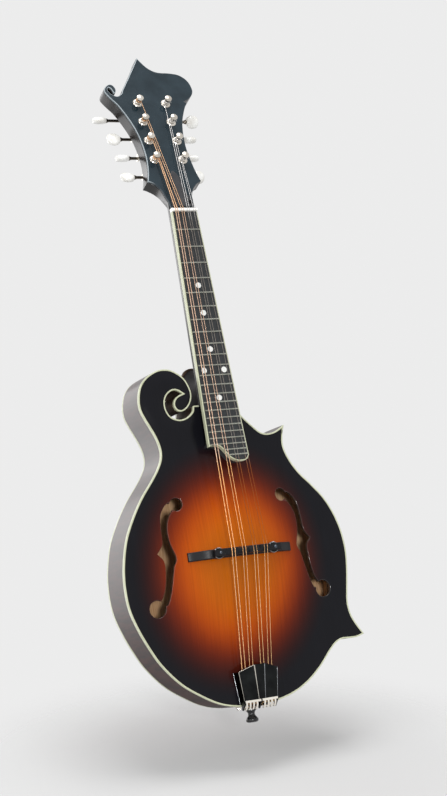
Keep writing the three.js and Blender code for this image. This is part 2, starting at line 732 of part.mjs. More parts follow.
const overlay = prism(headOutline, 0, overlayThickness)
  .subtract(postHoles)
  .subtract(rodPocket)
  .subtract(coverScrewHoles);
piece(headGroup, 'headstock_overlay', overlay, blackLacquer);
const headWood = prism(headOutline, overlayThickness + seatGap, headThickness)
  .subtract(postHoles)
  .subtract(rodPocket)
  .subtract(coverScrewHoles);

// Neck: shaft, heel, riser under the board's end and tenon
function halfRound(halfWidth, depth, front) {
  const steps = 8;
  return Array.from({ length: steps + 1 }, (_, step) => {
    const angle = (step / steps) * Math.PI;
    const bulgeShare = 0.85;
    return new THREE.Vector2(-halfWidth * Math.cos(angle), front + depth * Math.sin(angle) ** bulgeShare);
  });
}
const shaftPlaces = [
  joint + seatGap * 2,
  joint + (scaleLength - joint) * 0.4,
  scaleLength - nutThickness * 3,
  nutTop + nutThickness * 2,
];
const shaftShareAt = (place) => Math.min((place - joint) / (scaleLength - joint), 1);
const shaft = loft(shaftPlaces.map((place) => {
  const share = shaftShareAt(place);
  const depth = THREE.MathUtils.lerp(neckDepthAtBody, neckDepthAtNut, share);
  return halfRound(neckHalfWidth(Math.max(scaleLength - place, 0)), depth, neckFront);
}), (point, index) => new THREE.Vector3(point.x, point.y, shaftPlaces[index]));

const heelFloor = jointZ + seatGap;
const heelBack = halfDepth - plateThickness - seatGap;
const heelStations = [0, 0.3, 0.42, 0.7, 1];
const heelTopShares = [1.35, 0.82, heelThroat / buttonReach, 0.86, 0.97];
const heelCurveShares = [
  [-1, 0], [-1, 0.45], [-0.84, 0.8], [-0.45, 0.97], [0, 1], [0.45, 0.97], [0.84, 0.8], [1, 0.45], [1, 0],
];
const heelFront = -halfDepth - stringPlaneHeight / 2;
const heelDepths = heelStations.map((share) => THREE.MathUtils.lerp(heelFront, heelBack, share));
const heel = loft(heelStations.map((share, index) => {
  const halfWidth = THREE.MathUtils.lerp(heelTopHalfWidth, heelHalfWidth, share) - seatGap;
  const top = heelTopShares[index] * buttonReach;
  return heelCurveShares.map(([across, along]) => (
    new THREE.Vector2(across * halfWidth, heelFloor + along * top)
  ));
}), (point, index) => new THREE.Vector3(point.x, heelDepths[index], point.y));

const boardTail = boardTailShare * scaleLength;
const boardEndHalfWidth = neckHalfWidth(scaleLength - boardTail);
const boardEndLength = boardEndHalfWidth * boardEndLengthShare;
const boardEnd = boardEndShares.map(([acrossShare, alongShare]) => (
  [acrossShare * boardEndHalfWidth, boardTail + alongShare * boardEndLength]
));
function boardOutline(inset) {
  const topHalf = neckHalfWidth(0) - inset;
  const corners = vectors([[boardEndHalfWidth, scaleLength], [-boardEndHalfWidth, scaleLength]]);
  const end = joined([smooth(boardEnd, scrollStep), corners]);
  const trimmed = offset(end, -inset).filter((point) => point.y < joint);
  const turn = (point) => Math.atan2(point.y - joint, point.x);
  const low = trimmed.sort((a, b) => turn(a) - turn(b));
  return [...low, ...vectors([[topHalf, scaleLength], [-topHalf, scaleLength]])];
}
const riser = prism(offset(boardOutline(0), -bindingWidth), neckFront, neckFront + stringPlaneHeight)
  .intersect(box([-overrun, 0, boardTail - overrun], [overrun, bodyDepth, joint + bindingWidth]));
const overTop = archSlab(-1, topArch, -seatGap, bodyDepth);
const behindTop = box([-overrun, -halfDepth - seatGap, 0], [overrun, overrun, heelFloor]);
const overOverlay = box(
  [-bodyHalfWidth, -overrun, 0], [bodyHalfWidth, overlayThickness + seatGap, headLength * 2],
);
const tenonCut = box(
  [-overrun, tenonFront, 0], [overrun, tenonBack, jointZ + seatGap * 2],
);
const neckSolid = union([
  shaft.subtract(moved(behindTop, toNeck)).subtract(moved(overOverlay, headInNeck)),
  moved(headWood, headInNeck),
  moved(heel.subtract(prism(offset(backOutline, seatGap), heelBack, halfDepth + overrun)), toNeck),
  riser.subtract(moved(overTop, toNeck)),
  moved(tenon(0).intersect(tenonCut), toNeck),
]);
const rodChannel = box(
  [-pocketHalf, 0, joint + seatGap], [pocketHalf, rodFloor, nutTop + overrun / 4],
);
const neckTrimmed = neckSolid
  .subtract(rodChannel)
  .subtract(moved(coverScrewHoles, headInNeck))
  .subtract(box([-overrun, -overrun, 0], [overrun, neckFront, nutTop]));
piece(neckGroup, 'neck', neckTrimmed, darkWood);
const rodLow = joint + neckDepthAtBody;
const rodY = neckFront + rodRadius + seatGap * 2;
piece(neckGroup, 'truss_rod', rod(rodRadius, rodLow, nutTop + overrun / 6, 10, 'z', [0, rodY, 0]), steel);

// Fingerboard with its frets, binding and nut
const fretPlaces = Array.from({ length: fretCount }, (_, fret) => scaleLength * 2 ** (-(fret + 1) / 12));
const boardInset = boardBindingWidth + seatGap;
const darkBoard = boardOutline(boardInset);
const frets = union(fretPlaces.map((place) => {
  const crown = vectors([
    [fretHeight * 1.5, place - fretWidth / 2], [fretHeight * 0.4, place - fretWidth / 2], [0, place],
    [fretHeight * 0.4, place + fretWidth / 2], [fretHeight * 1.5, place + fretWidth / 2],
  ]);
  return prismAcross(crown, -overrun, overrun);
}));
const board = prism(darkBoard, fretHeight, boardBack);
const fretsOnBoard = frets.intersect(prism(darkBoard, -fretHeight, boardBack));
piece(neckGroup, 'fingerboard', board.add(fretsOnBoard), ebony);
const boardSurround = prism(boardOutline(0), fretHeight * 1.1, boardBack)
  .subtract(prism(boardOutline(boardBindingWidth), -overrun, overrun))
  .subtract(box(
    [-boardHalfWidthAtNut, -overrun, scaleLength - nutThickness], [boardHalfWidthAtNut, overrun, nutTop],
  ));
piece(neckGroup, 'fingerboard_binding', boardSurround, ivory);

const courses = [-1.5, -0.5, 0.5, 1.5];
const strings = stringGauges.map((gauge, index) => {
  const course = courses[Math.floor(index / 2)];
  const half = index % 2 - 0.5;
  const across = (spread, pairGap) => course * spread + half * pairGap;
  return {
    radius: gauge / 2,
    nut: across(courseSpreadAtNut, pairGapAtNut),
    saddle: across(courseSpreadAtSaddle, pairGapAtSaddle),
    tail: across(courseSpreadAtTail, pairGapAtTail) + Math.sign(course) * middleGapAtTail / 2,
    post: posts[index < 4 ? index : posts.length - 1 - (index - 4)],
  };
});
const nutHalfWidth = neckHalfWidth(0);
const nutSlots = union(strings.map(({ nut, radius }) => (
  box([nut - radius - seatGap, -overrun, 0], [nut + radius + seatGap, -nutSlotHeight, nutTop + overrun])
)));
const nutProfile = vectors([
  [boardBack, scaleLength + seatGap],
  [-nutHeight, scaleLength + seatGap],
  [-nutHeight, scaleLength + nutThickness / 2],
  [headSetback - nutHeight, nutTop - seatGap],
  [boardBack, nutTop - seatGap],
]);
piece(neckGroup, 'nut', prismAcross(nutProfile, -nutHalfWidth, nutHalfWidth).subtract(nutSlots), bone);

// Truss rod cover, a bell shape over the pocket behind the nut
const coverPoints = coverShares.map(([across, along]) => (
  [across * rodCoverHalfWidth, along * rodCoverLength]
));
const coverOutline = joined([smooth(coverPoints, scrollStep * 2)]);
const cover = prism(coverOutline, -rodCoverThickness - seatGap, -seatGap).subtract(coverScrewHoles);
piece(headGroup, 'truss_rod_cover', cover, blackLacquer);
for (const [index, [x, z]] of coverScrews.entries()) {
  const top = -rodCoverThickness - seatGap * 2;
  const depth = coverScrewDepth - top;
  const profile = screwProfile(coverShankRadius * 2, rodCoverThickness / 2, coverShankRadius, depth);
  piece(headGroup, `cover_screw_${index + 1}`, turned(profile, 8, 'y', [x, top, z]), nickel);
}

// Tuners: two back plates, eight posts with their gears, eight keys with their worms
const plateFront = headThickness + seatGap;
const plateBack = plateFront + tunerPlateThickness;
const keyDepth = plateBack + keyStandOff;
const wormDrop = gearRadius + seatGap + wormRadius;
for (const [side, sign] of Object.entries(sides)) {
  const row = posts.filter((post) => post.side === side);
  const low = row[0].z - wormDrop - tunerPlateMargin;
  const high = row.at(-1).z + tunerPlateMargin;
  const x = sign * postRowSpread;
  const plate = box([x - tunerPlateHalfWidth, plateFront, low], [x + tunerPlateHalfWidth, plateBack, high]);
  const ears = row.flatMap(({ z }) => [-earSpread, earSpread].map((shift) => (
    box(
      [x + shift - earThickness / 2, plateFront, z - wormDrop - earHalfWidth],
      [x + shift + earThickness / 2, keyDepth + earHalfWidth, z - wormDrop + earHalfWidth],
    )
  )));
  const bores = row.map(({ z }) => (
    rod(keyShaftRadius + seatGap, -overrun, overrun, 8, 'x', [x, keyDepth, z - wormDrop])
  ));
  const drilled = union([plate, ...ears]).subtract(union(bores)).subtract(postHoles);
  piece(headGroup, `tuner_plate_${side}`, drilled, nickel);
}

function postSolid() {
  const gearFront = keyDepth - gearThickness / 2;
  const profile = [
    [0, -postHeight],
    [postCapRadius * 0.7, -postHeight * 0.97],
    [postCapRadius, -postHeight * 0.88],
    [postCapRadius * 0.95, -postHeight * 0.81],
    [postWaist, -postHeight * waistEndShare],
    [postWaist, -postHeight * waistStartShare],
    [postRadius, -postHeight * 0.2],
    [postRadius, gearFront],
    [0, gearFront],
  ];
  const teeth = Array.from({ length: gearTeeth * 2 }, (_, step) => {
    const radius = step % 2 ? gearRadius * 0.8 : gearRadius;
    const angle = (step / gearTeeth) * Math.PI;
    return new THREE.Vector2(radius * Math.cos(angle), radius * Math.sin(angle));
  });
  const gear = prism(teeth, gearFront - seatGap, gearFront + gearThickness);
  return turned(profile, 10, 'y', [0, 0, 0]).add(gear);
}

function keySolid(reach, turn) {
  const half = wormLength / 2;
  const stub = earSpread + earThickness / 2 + seatGap;
  const buttonFoot = reach - postRowSpread - buttonLength / 2;
  const profile = [
    [0, -stub], [keyShaftRadius, -stub], [keyShaftRadius, -half], [wormRadius, -half], [wormRadius, half],
    [keyShaftRadius, half], [keyShaftRadius, buttonFoot - keyCollarRadius], [keyCollarRadius, buttonFoot],
    [keyCollarRadius, buttonFoot + keyCollarRadius], [0, buttonFoot + keyCollarRadius],
  ];
  const button = new THREE.SphereGeometry(1, 8, 6).rotateZ(Math.PI / 2)
    .scale(buttonLength / 2, buttonThickness / 2, buttonWidth / 2)
    .rotateX(THREE.MathUtils.degToRad(turn))
    .translate(reach - postRowSpread, 0, 0);
  return turned(profile, 8, 'x', [0, 0, 0]).add(solidOf(button));
}

for (const { side, sign, row, x, z } of posts) {
  const post = piece(headGroup, `tuner_post_${side}_${row + 1}`, postSolid(), nickel);
  post.position.set(x, 0, z);
  const turnedKey = keySolid(keyReaches[row], keyTurns[side][row]);
  const key = piece(headGroup, `tuner_key_${side}_${row + 1}`, turnedKey, pearl);
  key.position.set(x, keyDepth, z - wormDrop);
  key.rotation.z = sign > 0 ? 0 : Math.PI;
}

// Bridge: base cut to the arch, two studs with thumb wheels, adjustable saddle
const bridgeZ = saddleZ - bridgeSetback;
const baseFront = -halfDepth - topArch - bridgeCentreThickness;
const endShare = Math.hypot(bridgeLength / 2, 0) / (archRimShares[3][0] * bodyHalfWidth);
const endFront = -halfDepth - archRise(endShare, topArch) - bridgeEndThickness;
const baseShares = [[0.5, 0], [0.4, 0.36], [0.33, 0.82], [0.29, 1]];
const baseEnd = baseShares.map(([across, rise]) => (
  [across * bridgeLength, THREE.MathUtils.lerp(endFront, baseFront, rise)]
));
const baseProfile = joined([
  smooth(baseEnd.map(([x, y]) => [-x, y]), outlineStep),
  smooth(baseEnd.toReversed(), outlineStep),
  vectors([[bridgeLength / 2, 0], [-bridgeLength / 2, 0]]),
]);
const studBottom = baseFront + studSink;
const studHoles = union([-1, 1].map((sign) => (
  rod(studRadius + seatGap, -overrun, studSink + seatGap, 10, 'y', [sign * studSpread, baseFront, bridgeZ])
)));
const baseSolid = prismUp(baseProfile, bridgeZ - bridgeWidth / 2, bridgeZ + bridgeWidth / 2)
  .subtract(overTop)
  .subtract(studHoles);
piece(mandolin, 'bridge_base', baseSolid, ebony);

const wheelBack = baseFront - wheelTravel - seatGap * 2;
const wheelFront = wheelBack - wheelThickness;
const saddleBack = wheelFront - seatGap;
const crestFront = neckY - saddleHeight;
const studTop = saddleBack - saddleEarThickness - wheelTravel;
for (const [side, sign] of Object.entries(sides)) {
  const centre = [sign * studSpread, 0, bridgeZ];
  piece(mandolin, `bridge_stud_${side}`, rod(studRadius, studTop, studBottom, 10, 'y', centre), nickel);
  const wheel = rod(wheelRadius, wheelFront, wheelBack, 16, 'y', centre)
    .subtract(rod(studRadius + seatGap, -overrun * 2, 0, 10, 'y', centre));
  piece(mandolin, `thumbwheel_${side}`, wheel, nickel);
}
const earFront = saddleBack - saddleEarThickness;
const saddleProfile = vectors([
  [-saddleHalfLength, saddleBack],
  [-saddleHalfLength, earFront],
  [-crestHalfLength, earFront],
  [-crestHalfLength + saddleEarThickness / 2, crestFront],
  [crestHalfLength - saddleEarThickness / 2, crestFront],
  [crestHalfLength, earFront],
  [saddleHalfLength, earFront],
  [saddleHalfLength, saddleBack],
]);
// Each course has its own crest, set back by its own compensation
const crestSetbackShares = [0.06, 0.24, 0.9, 0.06];
const saddleFore = bridgeZ + saddleWidth / 2;
const crestCuts = crestSetbackShares.flatMap((share, course) => {
  const middle = courses[course] * courseSpreadAtSaddle;
  const left = course === 0 ? -overrun : middle - courseSpreadAtSaddle / 2;
  const right = course === 3 ? overrun : middle + courseSpreadAtSaddle / 2;
  const crestHigh = saddleFore - share * (saddleWidth - crestWidth);
  const crestLow = crestHigh - crestWidth;
  const front = crestFront - seatGap;
  const high = saddleFore + seatGap;
  const low = saddleFore - saddleWidth - seatGap;
  const fore = prismAcross(vectors([[front, crestHigh], [earFront, high], [front, high]]), left, right);
  const aft = prismAcross(vectors([[front, crestLow], [earFront, low], [front, low]]), left, right);
  return [fore, aft];
});
const saddleSolid = prismUp(saddleProfile, saddleFore - saddleWidth, saddleFore)
  .subtract(union(crestCuts))
  .subtract(studHoles);
piece(mandolin, 'bridge_saddle', saddleSolid, ebony);

// Tailpiece: a ribbed cast hood over the strings, a comb of prongs and a bracket down the tail
const tailRear = bodyBottom + tailInset;
function hoodSection(halfWidth, ribPlace, height, ridge) {
  const slope = ridge / (halfWidth - ribPlace);
  const outer = (x) => tailFloor - height - Math.min((halfWidth - Math.abs(x)) * slope, ridge);
  const rib = (x) => [
    [x - ribHalfWidth, outer(x - ribHalfWidth)], [x - ribHalfWidth, outer(x) - ribRise],
    [x + ribHalfWidth, outer(x) - ribRise], [x + ribHalfWidth, outer(x + ribHalfWidth)],
  ];
  const inner = (x) => [x, outer(x) + tailWall];
  const foot = halfWidth + tailFlare;
  return vectors([
    [-foot, tailFloor], [-halfWidth, outer(halfWidth)], ...rib(-ribPlace), ...rib(ribPlace),
    [halfWidth, outer(halfWidth)], [foot, tailFloor], [foot - tailWall, tailFloor],
    inner(halfWidth - tailWall), inner(ribPlace), inner(-ribPlace), inner(tailWall - halfWidth),
    [tailWall - foot, tailFloor],
  ]);
}
const hoodPlaces = [tailRear - combBar, tailRear + tailLength + tailPeak];
const hood = loft([
  hoodSection(tailRearHalfWidth, tailRearRidgeHalfWidth, tailRearHeight, tailRidgeRise * 0.6),
  hoodSection(tailHalfWidth, tailRidgeHalfWidth, tailMouthHeight, tailRidgeRise),
], (point, index) => new THREE.Vector3(point.x, point.y, hoodPlaces[index]));
const mouthLine = tailRear + tailLength;
const mouthHalf = tailHalfWidth + tailFlare + seatGap;
const mouthCut = prism(vectors([
  [-mouthHalf, mouthLine],
  [-tailRidgeHalfWidth, mouthLine + tailPeak],
  [tailRidgeHalfWidth, mouthLine + tailPeak],
  [mouthHalf, mouthLine],
  [mouthHalf, mouthLine + overrun],
  [-mouthHalf, mouthLine + overrun],
]), -halfDepth - overrun, 0);
const barFront = tailFloor - tailRearHeight;
const combHalf = tailRearHalfWidth - tailWall / 2;
const combLow = tailRear - combBar;
const comb = box([-combHalf, barFront, combLow], [combHalf, tailFloor, tailRear]);
const prongBack = tailFloor - prongWidth;
const prongProfile = vectors([
  [barFront, tailRear - seatGap],
  [barFront, combLow],
  [barFront + prongWidth * 0.6, combLow - prongReach * 0.62],
  [prongBack, combLow - prongReach],
  [prongBack + prongWidth * 0.5, combLow - prongReach * 0.8],
  [barFront + prongWidth * 1.8, combLow - prongReach * 0.35],
  [barFront + prongWidth * 1.4, tailRear - seatGap],
]);
const prongs = strings.map(({ tail }) => (
  prismAcross(prongProfile, tail - prongWidth / 2, tail + prongWidth / 2)
));
const bracketTop = bodyBottom - seatGap;
const bracketCorner = [-bracketHalfWidth, tailFloor - bracketThickness, bracketTop - bracketThickness];
const bracket = union([
  box(bracketCorner, [bracketHalfWidth, tailFloor, tailRear]),
  box(bracketCorner, [bracketHalfWidth, tailFloor + bracketReach, bracketTop]),
]);
const pinBore = rod(pinPegRadius + seatGap, 0, overrun, 12, 'z', [0, pinY, 0]);
const tailpiece = union([hood.subtract(mouthCut), comb, ...prongs, bracket])
  .subtract(pinBore)
  .subtract(screwHoles);
piece(mandolin, 'tailpiece', tailpiece, nickel);

const pinProfile = [
  [0, 0],
  ...pinShares.map(([radiusShare, heightShare]) => [radiusShare * pinHeadRadius, heightShare * pinLength]),
  [pinWaistRadius, pinLength * 0.52],
  [pinWaistRadius, pinLength * 0.62],
  [pinCollarRadius, pinLength * 0.76],
  [pinCollarRadius, pinLength],
  [pinPegRadius, pinLength],
  [pinPegRadius * 0.9, pinTop],
  [0, pinTop],
];
piece(mandolin, 'end_pin', turned(pinProfile, 14, 'z', [0, pinY, 0]), blackLacquer);

for (const [side, sign] of Object.entries(sides)) {
  const under = bracketTop - bracketThickness - seatGap;
  const profile = screwProfile(screwHeadRadius, screwHeadHeight, screwShankRadius, screwTop - under);
  const screw = turned(profile, 8, 'z', [sign * screwSpread, screwY, under]);
  piece(mandolin, `tail_screw_${side}`, screw, nickel);
}

// Strings: from the prongs over the saddle and the nut, then round the waists of their posts
function windingPoints(string) {
  const { sign, x, z } = string.post;
  const reach = postWaist + seatGap + string.radius;
  const start = [-sign * (string.nut - x), -z];
  const tangent = Math.atan2(start[1], start[0]) + Math.acos(reach / Math.hypot(...start));
  const count = windingTurns * windingSteps;
  const pitch = string.radius * 2 + windingGap;
  const foot = -postHeight * waistStartShare - string.radius - seatGap;
  return Array.from({ length: count + 1 }, (_, step) => {
    const angle = tangent + (step / windingSteps) * 2 * Math.PI;
    const rise = foot - pitch * (step / windingSteps);
    return new THREE.Vector3(x - sign * reach * Math.cos(angle), rise, z + reach * Math.sin(angle));
  });
}

function leastGap(points, radius) {
  let least = Infinity;
  for (let one = 0; one < points.length; one++) {
    for (let other = one + windingSteps / 2; other < points.length; other++) {
      least = Math.min(least, points[one].distanceTo(points[other]));
    }
  }
  return least - radius * 2;
}

const windingGaps = [];
for (const [index, string] of strings.entries()) {
  const { radius } = string;
  const crestHigh = saddleFore - crestSetbackShares[Math.floor(index / 2)] * (saddleWidth - crestWidth);
  const overCrest = crestFront - seatGap - radius;
  const overNut = -nutSlotHeight - seatGap - radius;
  const tailY = tailFloor - radius - bracketThickness / 2;
  const lower = [
    new THREE.Vector3(string.tail, tailY, tailRear + seatGap * 2),
    new THREE.Vector3(string.saddle, overCrest, crestHigh - crestWidth),
    new THREE.Vector3(string.saddle, overCrest, crestHigh),
  ];
  const nutEdges = [scaleLength + seatGap, nutTop - seatGap].map((place) => (
    new THREE.Vector3(string.nut, overNut, place).applyMatrix4(neckGroup.matrixWorld)
  ));
  const winding = windingPoints(string);
  windingGaps.push(leastGap(winding, radius));
  const upper = winding.map((point) => point.applyMatrix4(headGroup.matrixWorld));
  const name = `string_${stringNames[Math.floor(index / 2)]}_${index % 2 + 1}`;
  const drawn = wire([...lower, ...nutEdges, ...upper], radius, stringSides);
  piece(mandolin, name, drawn, index < 4 ? bronze : steel);
}
console.log(`least gap within a string's winding: ${Math.min(...windingGaps).toFixed(2)} mm`);

// The origin lies on the end pin, in front of the middle of the sides
const part = new THREE.Group();
mandolin.position.y = pinForward;
part.add(mandolin);

export default part;
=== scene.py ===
import math
import bmesh
import bpy
from mathutils import Matrix, Vector
from mathutils.geometry import delaunay_2d_cdt


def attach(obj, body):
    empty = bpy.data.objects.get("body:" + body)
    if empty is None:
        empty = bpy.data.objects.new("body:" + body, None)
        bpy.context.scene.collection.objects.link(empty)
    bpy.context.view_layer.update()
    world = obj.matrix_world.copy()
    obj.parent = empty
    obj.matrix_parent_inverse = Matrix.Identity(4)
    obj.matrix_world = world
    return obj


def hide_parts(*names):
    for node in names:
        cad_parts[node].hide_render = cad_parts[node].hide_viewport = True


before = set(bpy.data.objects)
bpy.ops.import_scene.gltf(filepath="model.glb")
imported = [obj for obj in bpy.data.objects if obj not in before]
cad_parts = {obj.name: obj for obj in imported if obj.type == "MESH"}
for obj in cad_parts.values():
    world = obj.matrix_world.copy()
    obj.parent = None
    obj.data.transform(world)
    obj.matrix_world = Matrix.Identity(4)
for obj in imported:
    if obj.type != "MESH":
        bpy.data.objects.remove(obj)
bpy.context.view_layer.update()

# Sizes are in millimetres, as in the CAD model, and become metres in each mesh
MM = 0.001
FULL_TURN = 2 * math.pi

# Gaps and rounded edges that several pieces share
seat_gap = 0.3
touch_gap = 0.1
fine_bevel = 0.15
small_bevel = 0.2
soft_bevel = 0.25
binding_bevel = 0.3
nut_bevel = 0.4
wood_bevel = 0.5
overlay_bevel = 0.8

# Fineness of the outlines and the meshes
outline_step = 3.2
scroll_step = 1.8
grid_step = 4.5
grid_row_share = 0.87
eye_steps = 20
mitre_limit = 0.35
mesh_tolerance = 1e-5
axis_radius = 0.01
tiny = 1e-6

# Body
body_length = 338.6
body_half_width = 124.9
body_depth = 44.5
joint_share = 0.8858
plate_thickness = 3.5
plate_inset = 0.04
top_arch = 14.5
back_arch = 13
arch_centre_share = 0.42
recurve_start_share = 0.72
recurve_depth = 0.6
binding_width = 1.5
rim_wall = 2.2
scroll_ridge = 2.2
ridge_reach = 9
ridge_start_share = 1.15
ridge_length = 40.5
ridge_run = 27
button_half_width = 17
button_reach = 46
button_shoulder_share = 0.94
eye_margin = 1.25
hole_edge = 0.5

# Bursts of colour on the top and the back, and the heights between which the gloss changes
burst_centre_share = 0.403
burst_shift = 6
burst_tilt = math.radians(9)
burst_half_width = 107
burst_half_height = 127
back_burst_centre_share = 0.42
back_burst_radius = 130
side_gloss_low = 20
side_gloss_high = 240
neck_gloss_low = 370
neck_gloss_high = 450
coat_roughness = 0.04

# Relief of the finishes, as strength and depth in metres
lacquer_relief = (0.03, 0.0002)
fine_relief = (0.05, 0.0002)
ivory_relief = (0.06, 0.0002)
pearl_relief = (0.04, 0.0004)
wood_relief = (0.2, 0.0003)
board_relief = (0.25, 0.0003)
winding_relief = (0.3, 0.0001)

# Neck, board and strings
scale_length = 352.4
body_fret = 15
fret_count = 23
cut_fret_shares = {22: 0.28, 23: 0.06}
neck_pitch = math.radians(5)
string_plane = 27
fret_height = 1
fret_width = 1.7
board_thickness = 5
board_half_width = 12.75
board_taper = 0.0254
board_tail_share = 0.245
board_end_reach = 4.2
board_binding = 1.2
board_binding_front_share = 1.05
riser_share = 0.62
dot_radius = 3
dot_sink = 0.06
dot_depth = 1
twin_dot_spread = 22.4
dot_spreads = {5: 0, 7: 0, 10: 0, 12: twin_dot_spread, 15: 0}
neck_depth_at_nut = 13.5
neck_depth_at_body = 15.5
neck_roundness = 0.85
heel_half_width = 16.5
heel_top_half_width = 18.5
heel_roundness = 0.6
nut_thickness = 4.4
nut_height = 2
saddle_height = 4
string_names = ["g", "d", "a", "e"]
string_gauges = [0.86, 0.86, 0.6, 0.6, 0.5, 0.5, 0.44, 0.44]
courses = [-1.5, -0.5, 0.5, 1.5]
course_spread_at_nut = 6.8
pair_gap_at_nut = 2.4
course_spread_at_saddle = 11.9
pair_gap_at_saddle = 3.3
course_spread_at_tail = 7.6
middle_gap_at_tail = 4.6
pair_gap_at_tail = 3.8
full_height = 711
string_fade = 7
over_nut_gap = 0.6
crest_gap = 0.05

# Headstock and tuners
head_tilt = math.radians(12)
head_length = 195.7
head_half_width = 53.5
head_setback = 3
head_thickness = 16
overlay_thickness = 2.5
edge_fade = 4
ear_share = 0.16
ear_back_narrowing = 0.6
ear_middle_narrowing = 0.15
rod_cover_thickness = 1.8
rod_cover_length = 46
rod_cover_half_width = 12
post_spacing = 24.4
first_post = 61
post_row = 16.3
post_radius = 3
post_cap = 3.9
post_waist = 2.4
post_height = 10.8
waist_start_share = 0.28
waist_end_share = 0.75
bushing_radius = 5.2
bushing_height = 1.8
bushing_bore_gap = 0.25
bushing_lip = 0.6
winding_turns = 2.5
winding_gap = 0.45
winding_steps = 24
string_ends = [(1.5, 0.2), (2, 0.6)]
gear_teeth = 14
gear_radius = 4.2
gear_thickness = 3.2
tooth_root_share = 0.8
worm_radius = 2.2
worm_length = 10.4
worm_pitch = 1.6
worm_root_share = 0.78
thread_start = 0.5
thread_end = 0.9
key_shaft_radius = 1.6
key_tip = 0.4
key_collar_radius = 2.6
collar_start = 1.2
collar_edge = 1.4
collar_end = 1.6
plate_half_width = 7.3
tuner_plate_thickness = 1.2
tuner_plate_margin = 8
tuner_plate_corner = 3
ear_thickness = 1.6
ear_spread = 6.5
ear_half_width = 3.2
key_stand_off = 4.6
button_length = 14.6
button_width = 14.4
button_thickness = 7.4
button_taper = 0.2
button_side_power = 0.6
button_face_power = 0.34
button_corner_power = 0.9
button_cap_sink = 0.15
key_reaches = [40.3, 40.3, 44, 54]
key_turns = {"bass": [24, 62, 0, 62], "treble": [28, 118, 118, 28]}

# Screw heads and button caps, as radius and height
plate_screw = [(1.5, 0), (1.5, 0.35), (1.1, 0.8), (0.4, 0.95)]
wheel_screw = [(2, 0), (2, 0.5), (1.5, 1), (0.5, 1.15)]
button_cap = [(1.5, 0), (1.5, 0.2), (0.9, 0.5)]

# Bridge
bridge_length = 113
bridge_width = 9
bridge_setback = 3
bridge_centre_thickness = 5.6
bridge_end_thickness = 2.6
bridge_slope_share = 0.21
bridge_slope_power = 1.3
bridge_chamfer = 0.8
stud_spread = 30
stud_radius = 1.5
stud_tip = 0.5
stud_seat = 1
stud_threads = 16
stud_thread_start = 0.6
stud_thread_rise = 0.3
stud_root_share = 0.86
wheel_radius = 5.6
wheel_thickness = 2
wheel_travel = 1.5
wheel_face_share = 0.9
wheel_edge = 0.4
knurl_count = 36
knurl_depth = 0.3
saddle_half_length = 36
crest_half_length = 25
crest_slope = 1.8
crest_step = 0.05
saddle_width = 6.5
crest_width = 2.6
saddle_ear = 3.6
crest_shares = [0.06, 0.24, 0.9, 0.06]

# Tailpiece and end pin
tail_half_width = 21.2
tail_rear_half_width = 18.2
tail_wall = 1
tail_length = 28.2
tail_peak = 5
tail_ridge = 5.6
tail_rear_ridge = 3.5
tail_mouth_height = 10
tail_rear_height = 7.5
tail_ridge_rise = 4
tail_rear_rise = 2.4
tail_steps = 12
rib_rises = [0.35, 0.7, 0.7, 0.35]
rib_half_widths = [0.45, 0.75, 0.75, 0.45]
rib_rear_share = 0.5
rib_crest_share = 0.6
rib_sink = 0.4
tail_inset = 5.2
tail_flare = 1.5
flare_radius = 0.35
flare_lift = 0.3
lip_radius = 0.45
comb_bar = 2.5
comb_half_gap = 0.7
comb_shares = [(-1.6, 0.08), (-1.6, -0.8), (0.6, -1), (2, -1), (1.4, 0.08)]
foot_bar_height = 1.6
foot_bar_reach = 1
web_half_width = 0.8
web_rear_drop = 0.8
web_front_drop = 0.4
web_tip = 1
prong_width = 2.2
prong_reach = 6.5
prong_rise = 0.4
prong_start = 0.8
prong_lift = 0.6
prong_foot = 1.4
prong_turn = 0.62 * math.pi
prong_drop_share = 1.37
prong_narrowing = 0.3
prong_thickness = 0.9
prong_thinning = 0.3
bracket_half_width = 11
bracket_thickness = 1.4
bracket_reach = 33
bracket_corner = 4
pin_length = 15
pin_head = 6.3
pin_waist = 3.4
pin_collar = 5.2
pin_peg = 4
pin_peg_reach = 18
pin_forward = 5
loop_depth = 4.6
loop_drop = 1.6
loop_centre_drop = 2.6
loop_radius = 1.7
loop_wire_share = 0.6
thinnest_loop_wire = 0.2
string_rear_gap = 1.4

# The camera stands low in front of the bass side, looks up a little and leans to one side
camera_sensor = 36
camera_lens = 73.3
camera_place = (-0.7166, -1.4604, 0.0707)
camera_angles = (98.942, 8.184, -25.473)

# Floor and light, in metres, shares of white and watts
paper = 0.84
world_light = 0.5
floor_grey = 0.68
floor_half = 0.6
floor_lean = math.radians(18.5)
floor_drop = 0.045
fade_start = 0.15
fade_end = 0.34

# Places worked out from the sizes
body_bottom = pin_length + bracket_thickness + seat_gap
half_depth = body_depth / 2
edge = half_depth - plate_thickness
joint_z = body_bottom + joint_share * body_length
joint = scale_length * 2 ** (-body_fret / 12)
saddle_z = joint_z - joint * math.cos(neck_pitch)
nut_z = saddle_z + scale_length
neck_y = -half_depth - string_plane
board_tail = board_tail_share * scale_length
board_back = fret_height + board_thickness
neck_front = board_back + seat_gap
nut_top = scale_length + nut_thickness
tail_floor = -half_depth - seat_gap * 4
body_frame = Matrix.Translation((0, pin_forward, 0))
neck_foot = body_frame @ Matrix.Translation((0, neck_y, saddle_z))
neck_frame = neck_foot @ Matrix.Rotation(-neck_pitch, 4, "X")
head_foot = neck_frame @ Matrix.Translation((0, head_setback, nut_top))
head_frame = head_foot @ Matrix.Rotation(-head_tilt, 4, "X")
sides = {"bass": -1, "treble": 1}

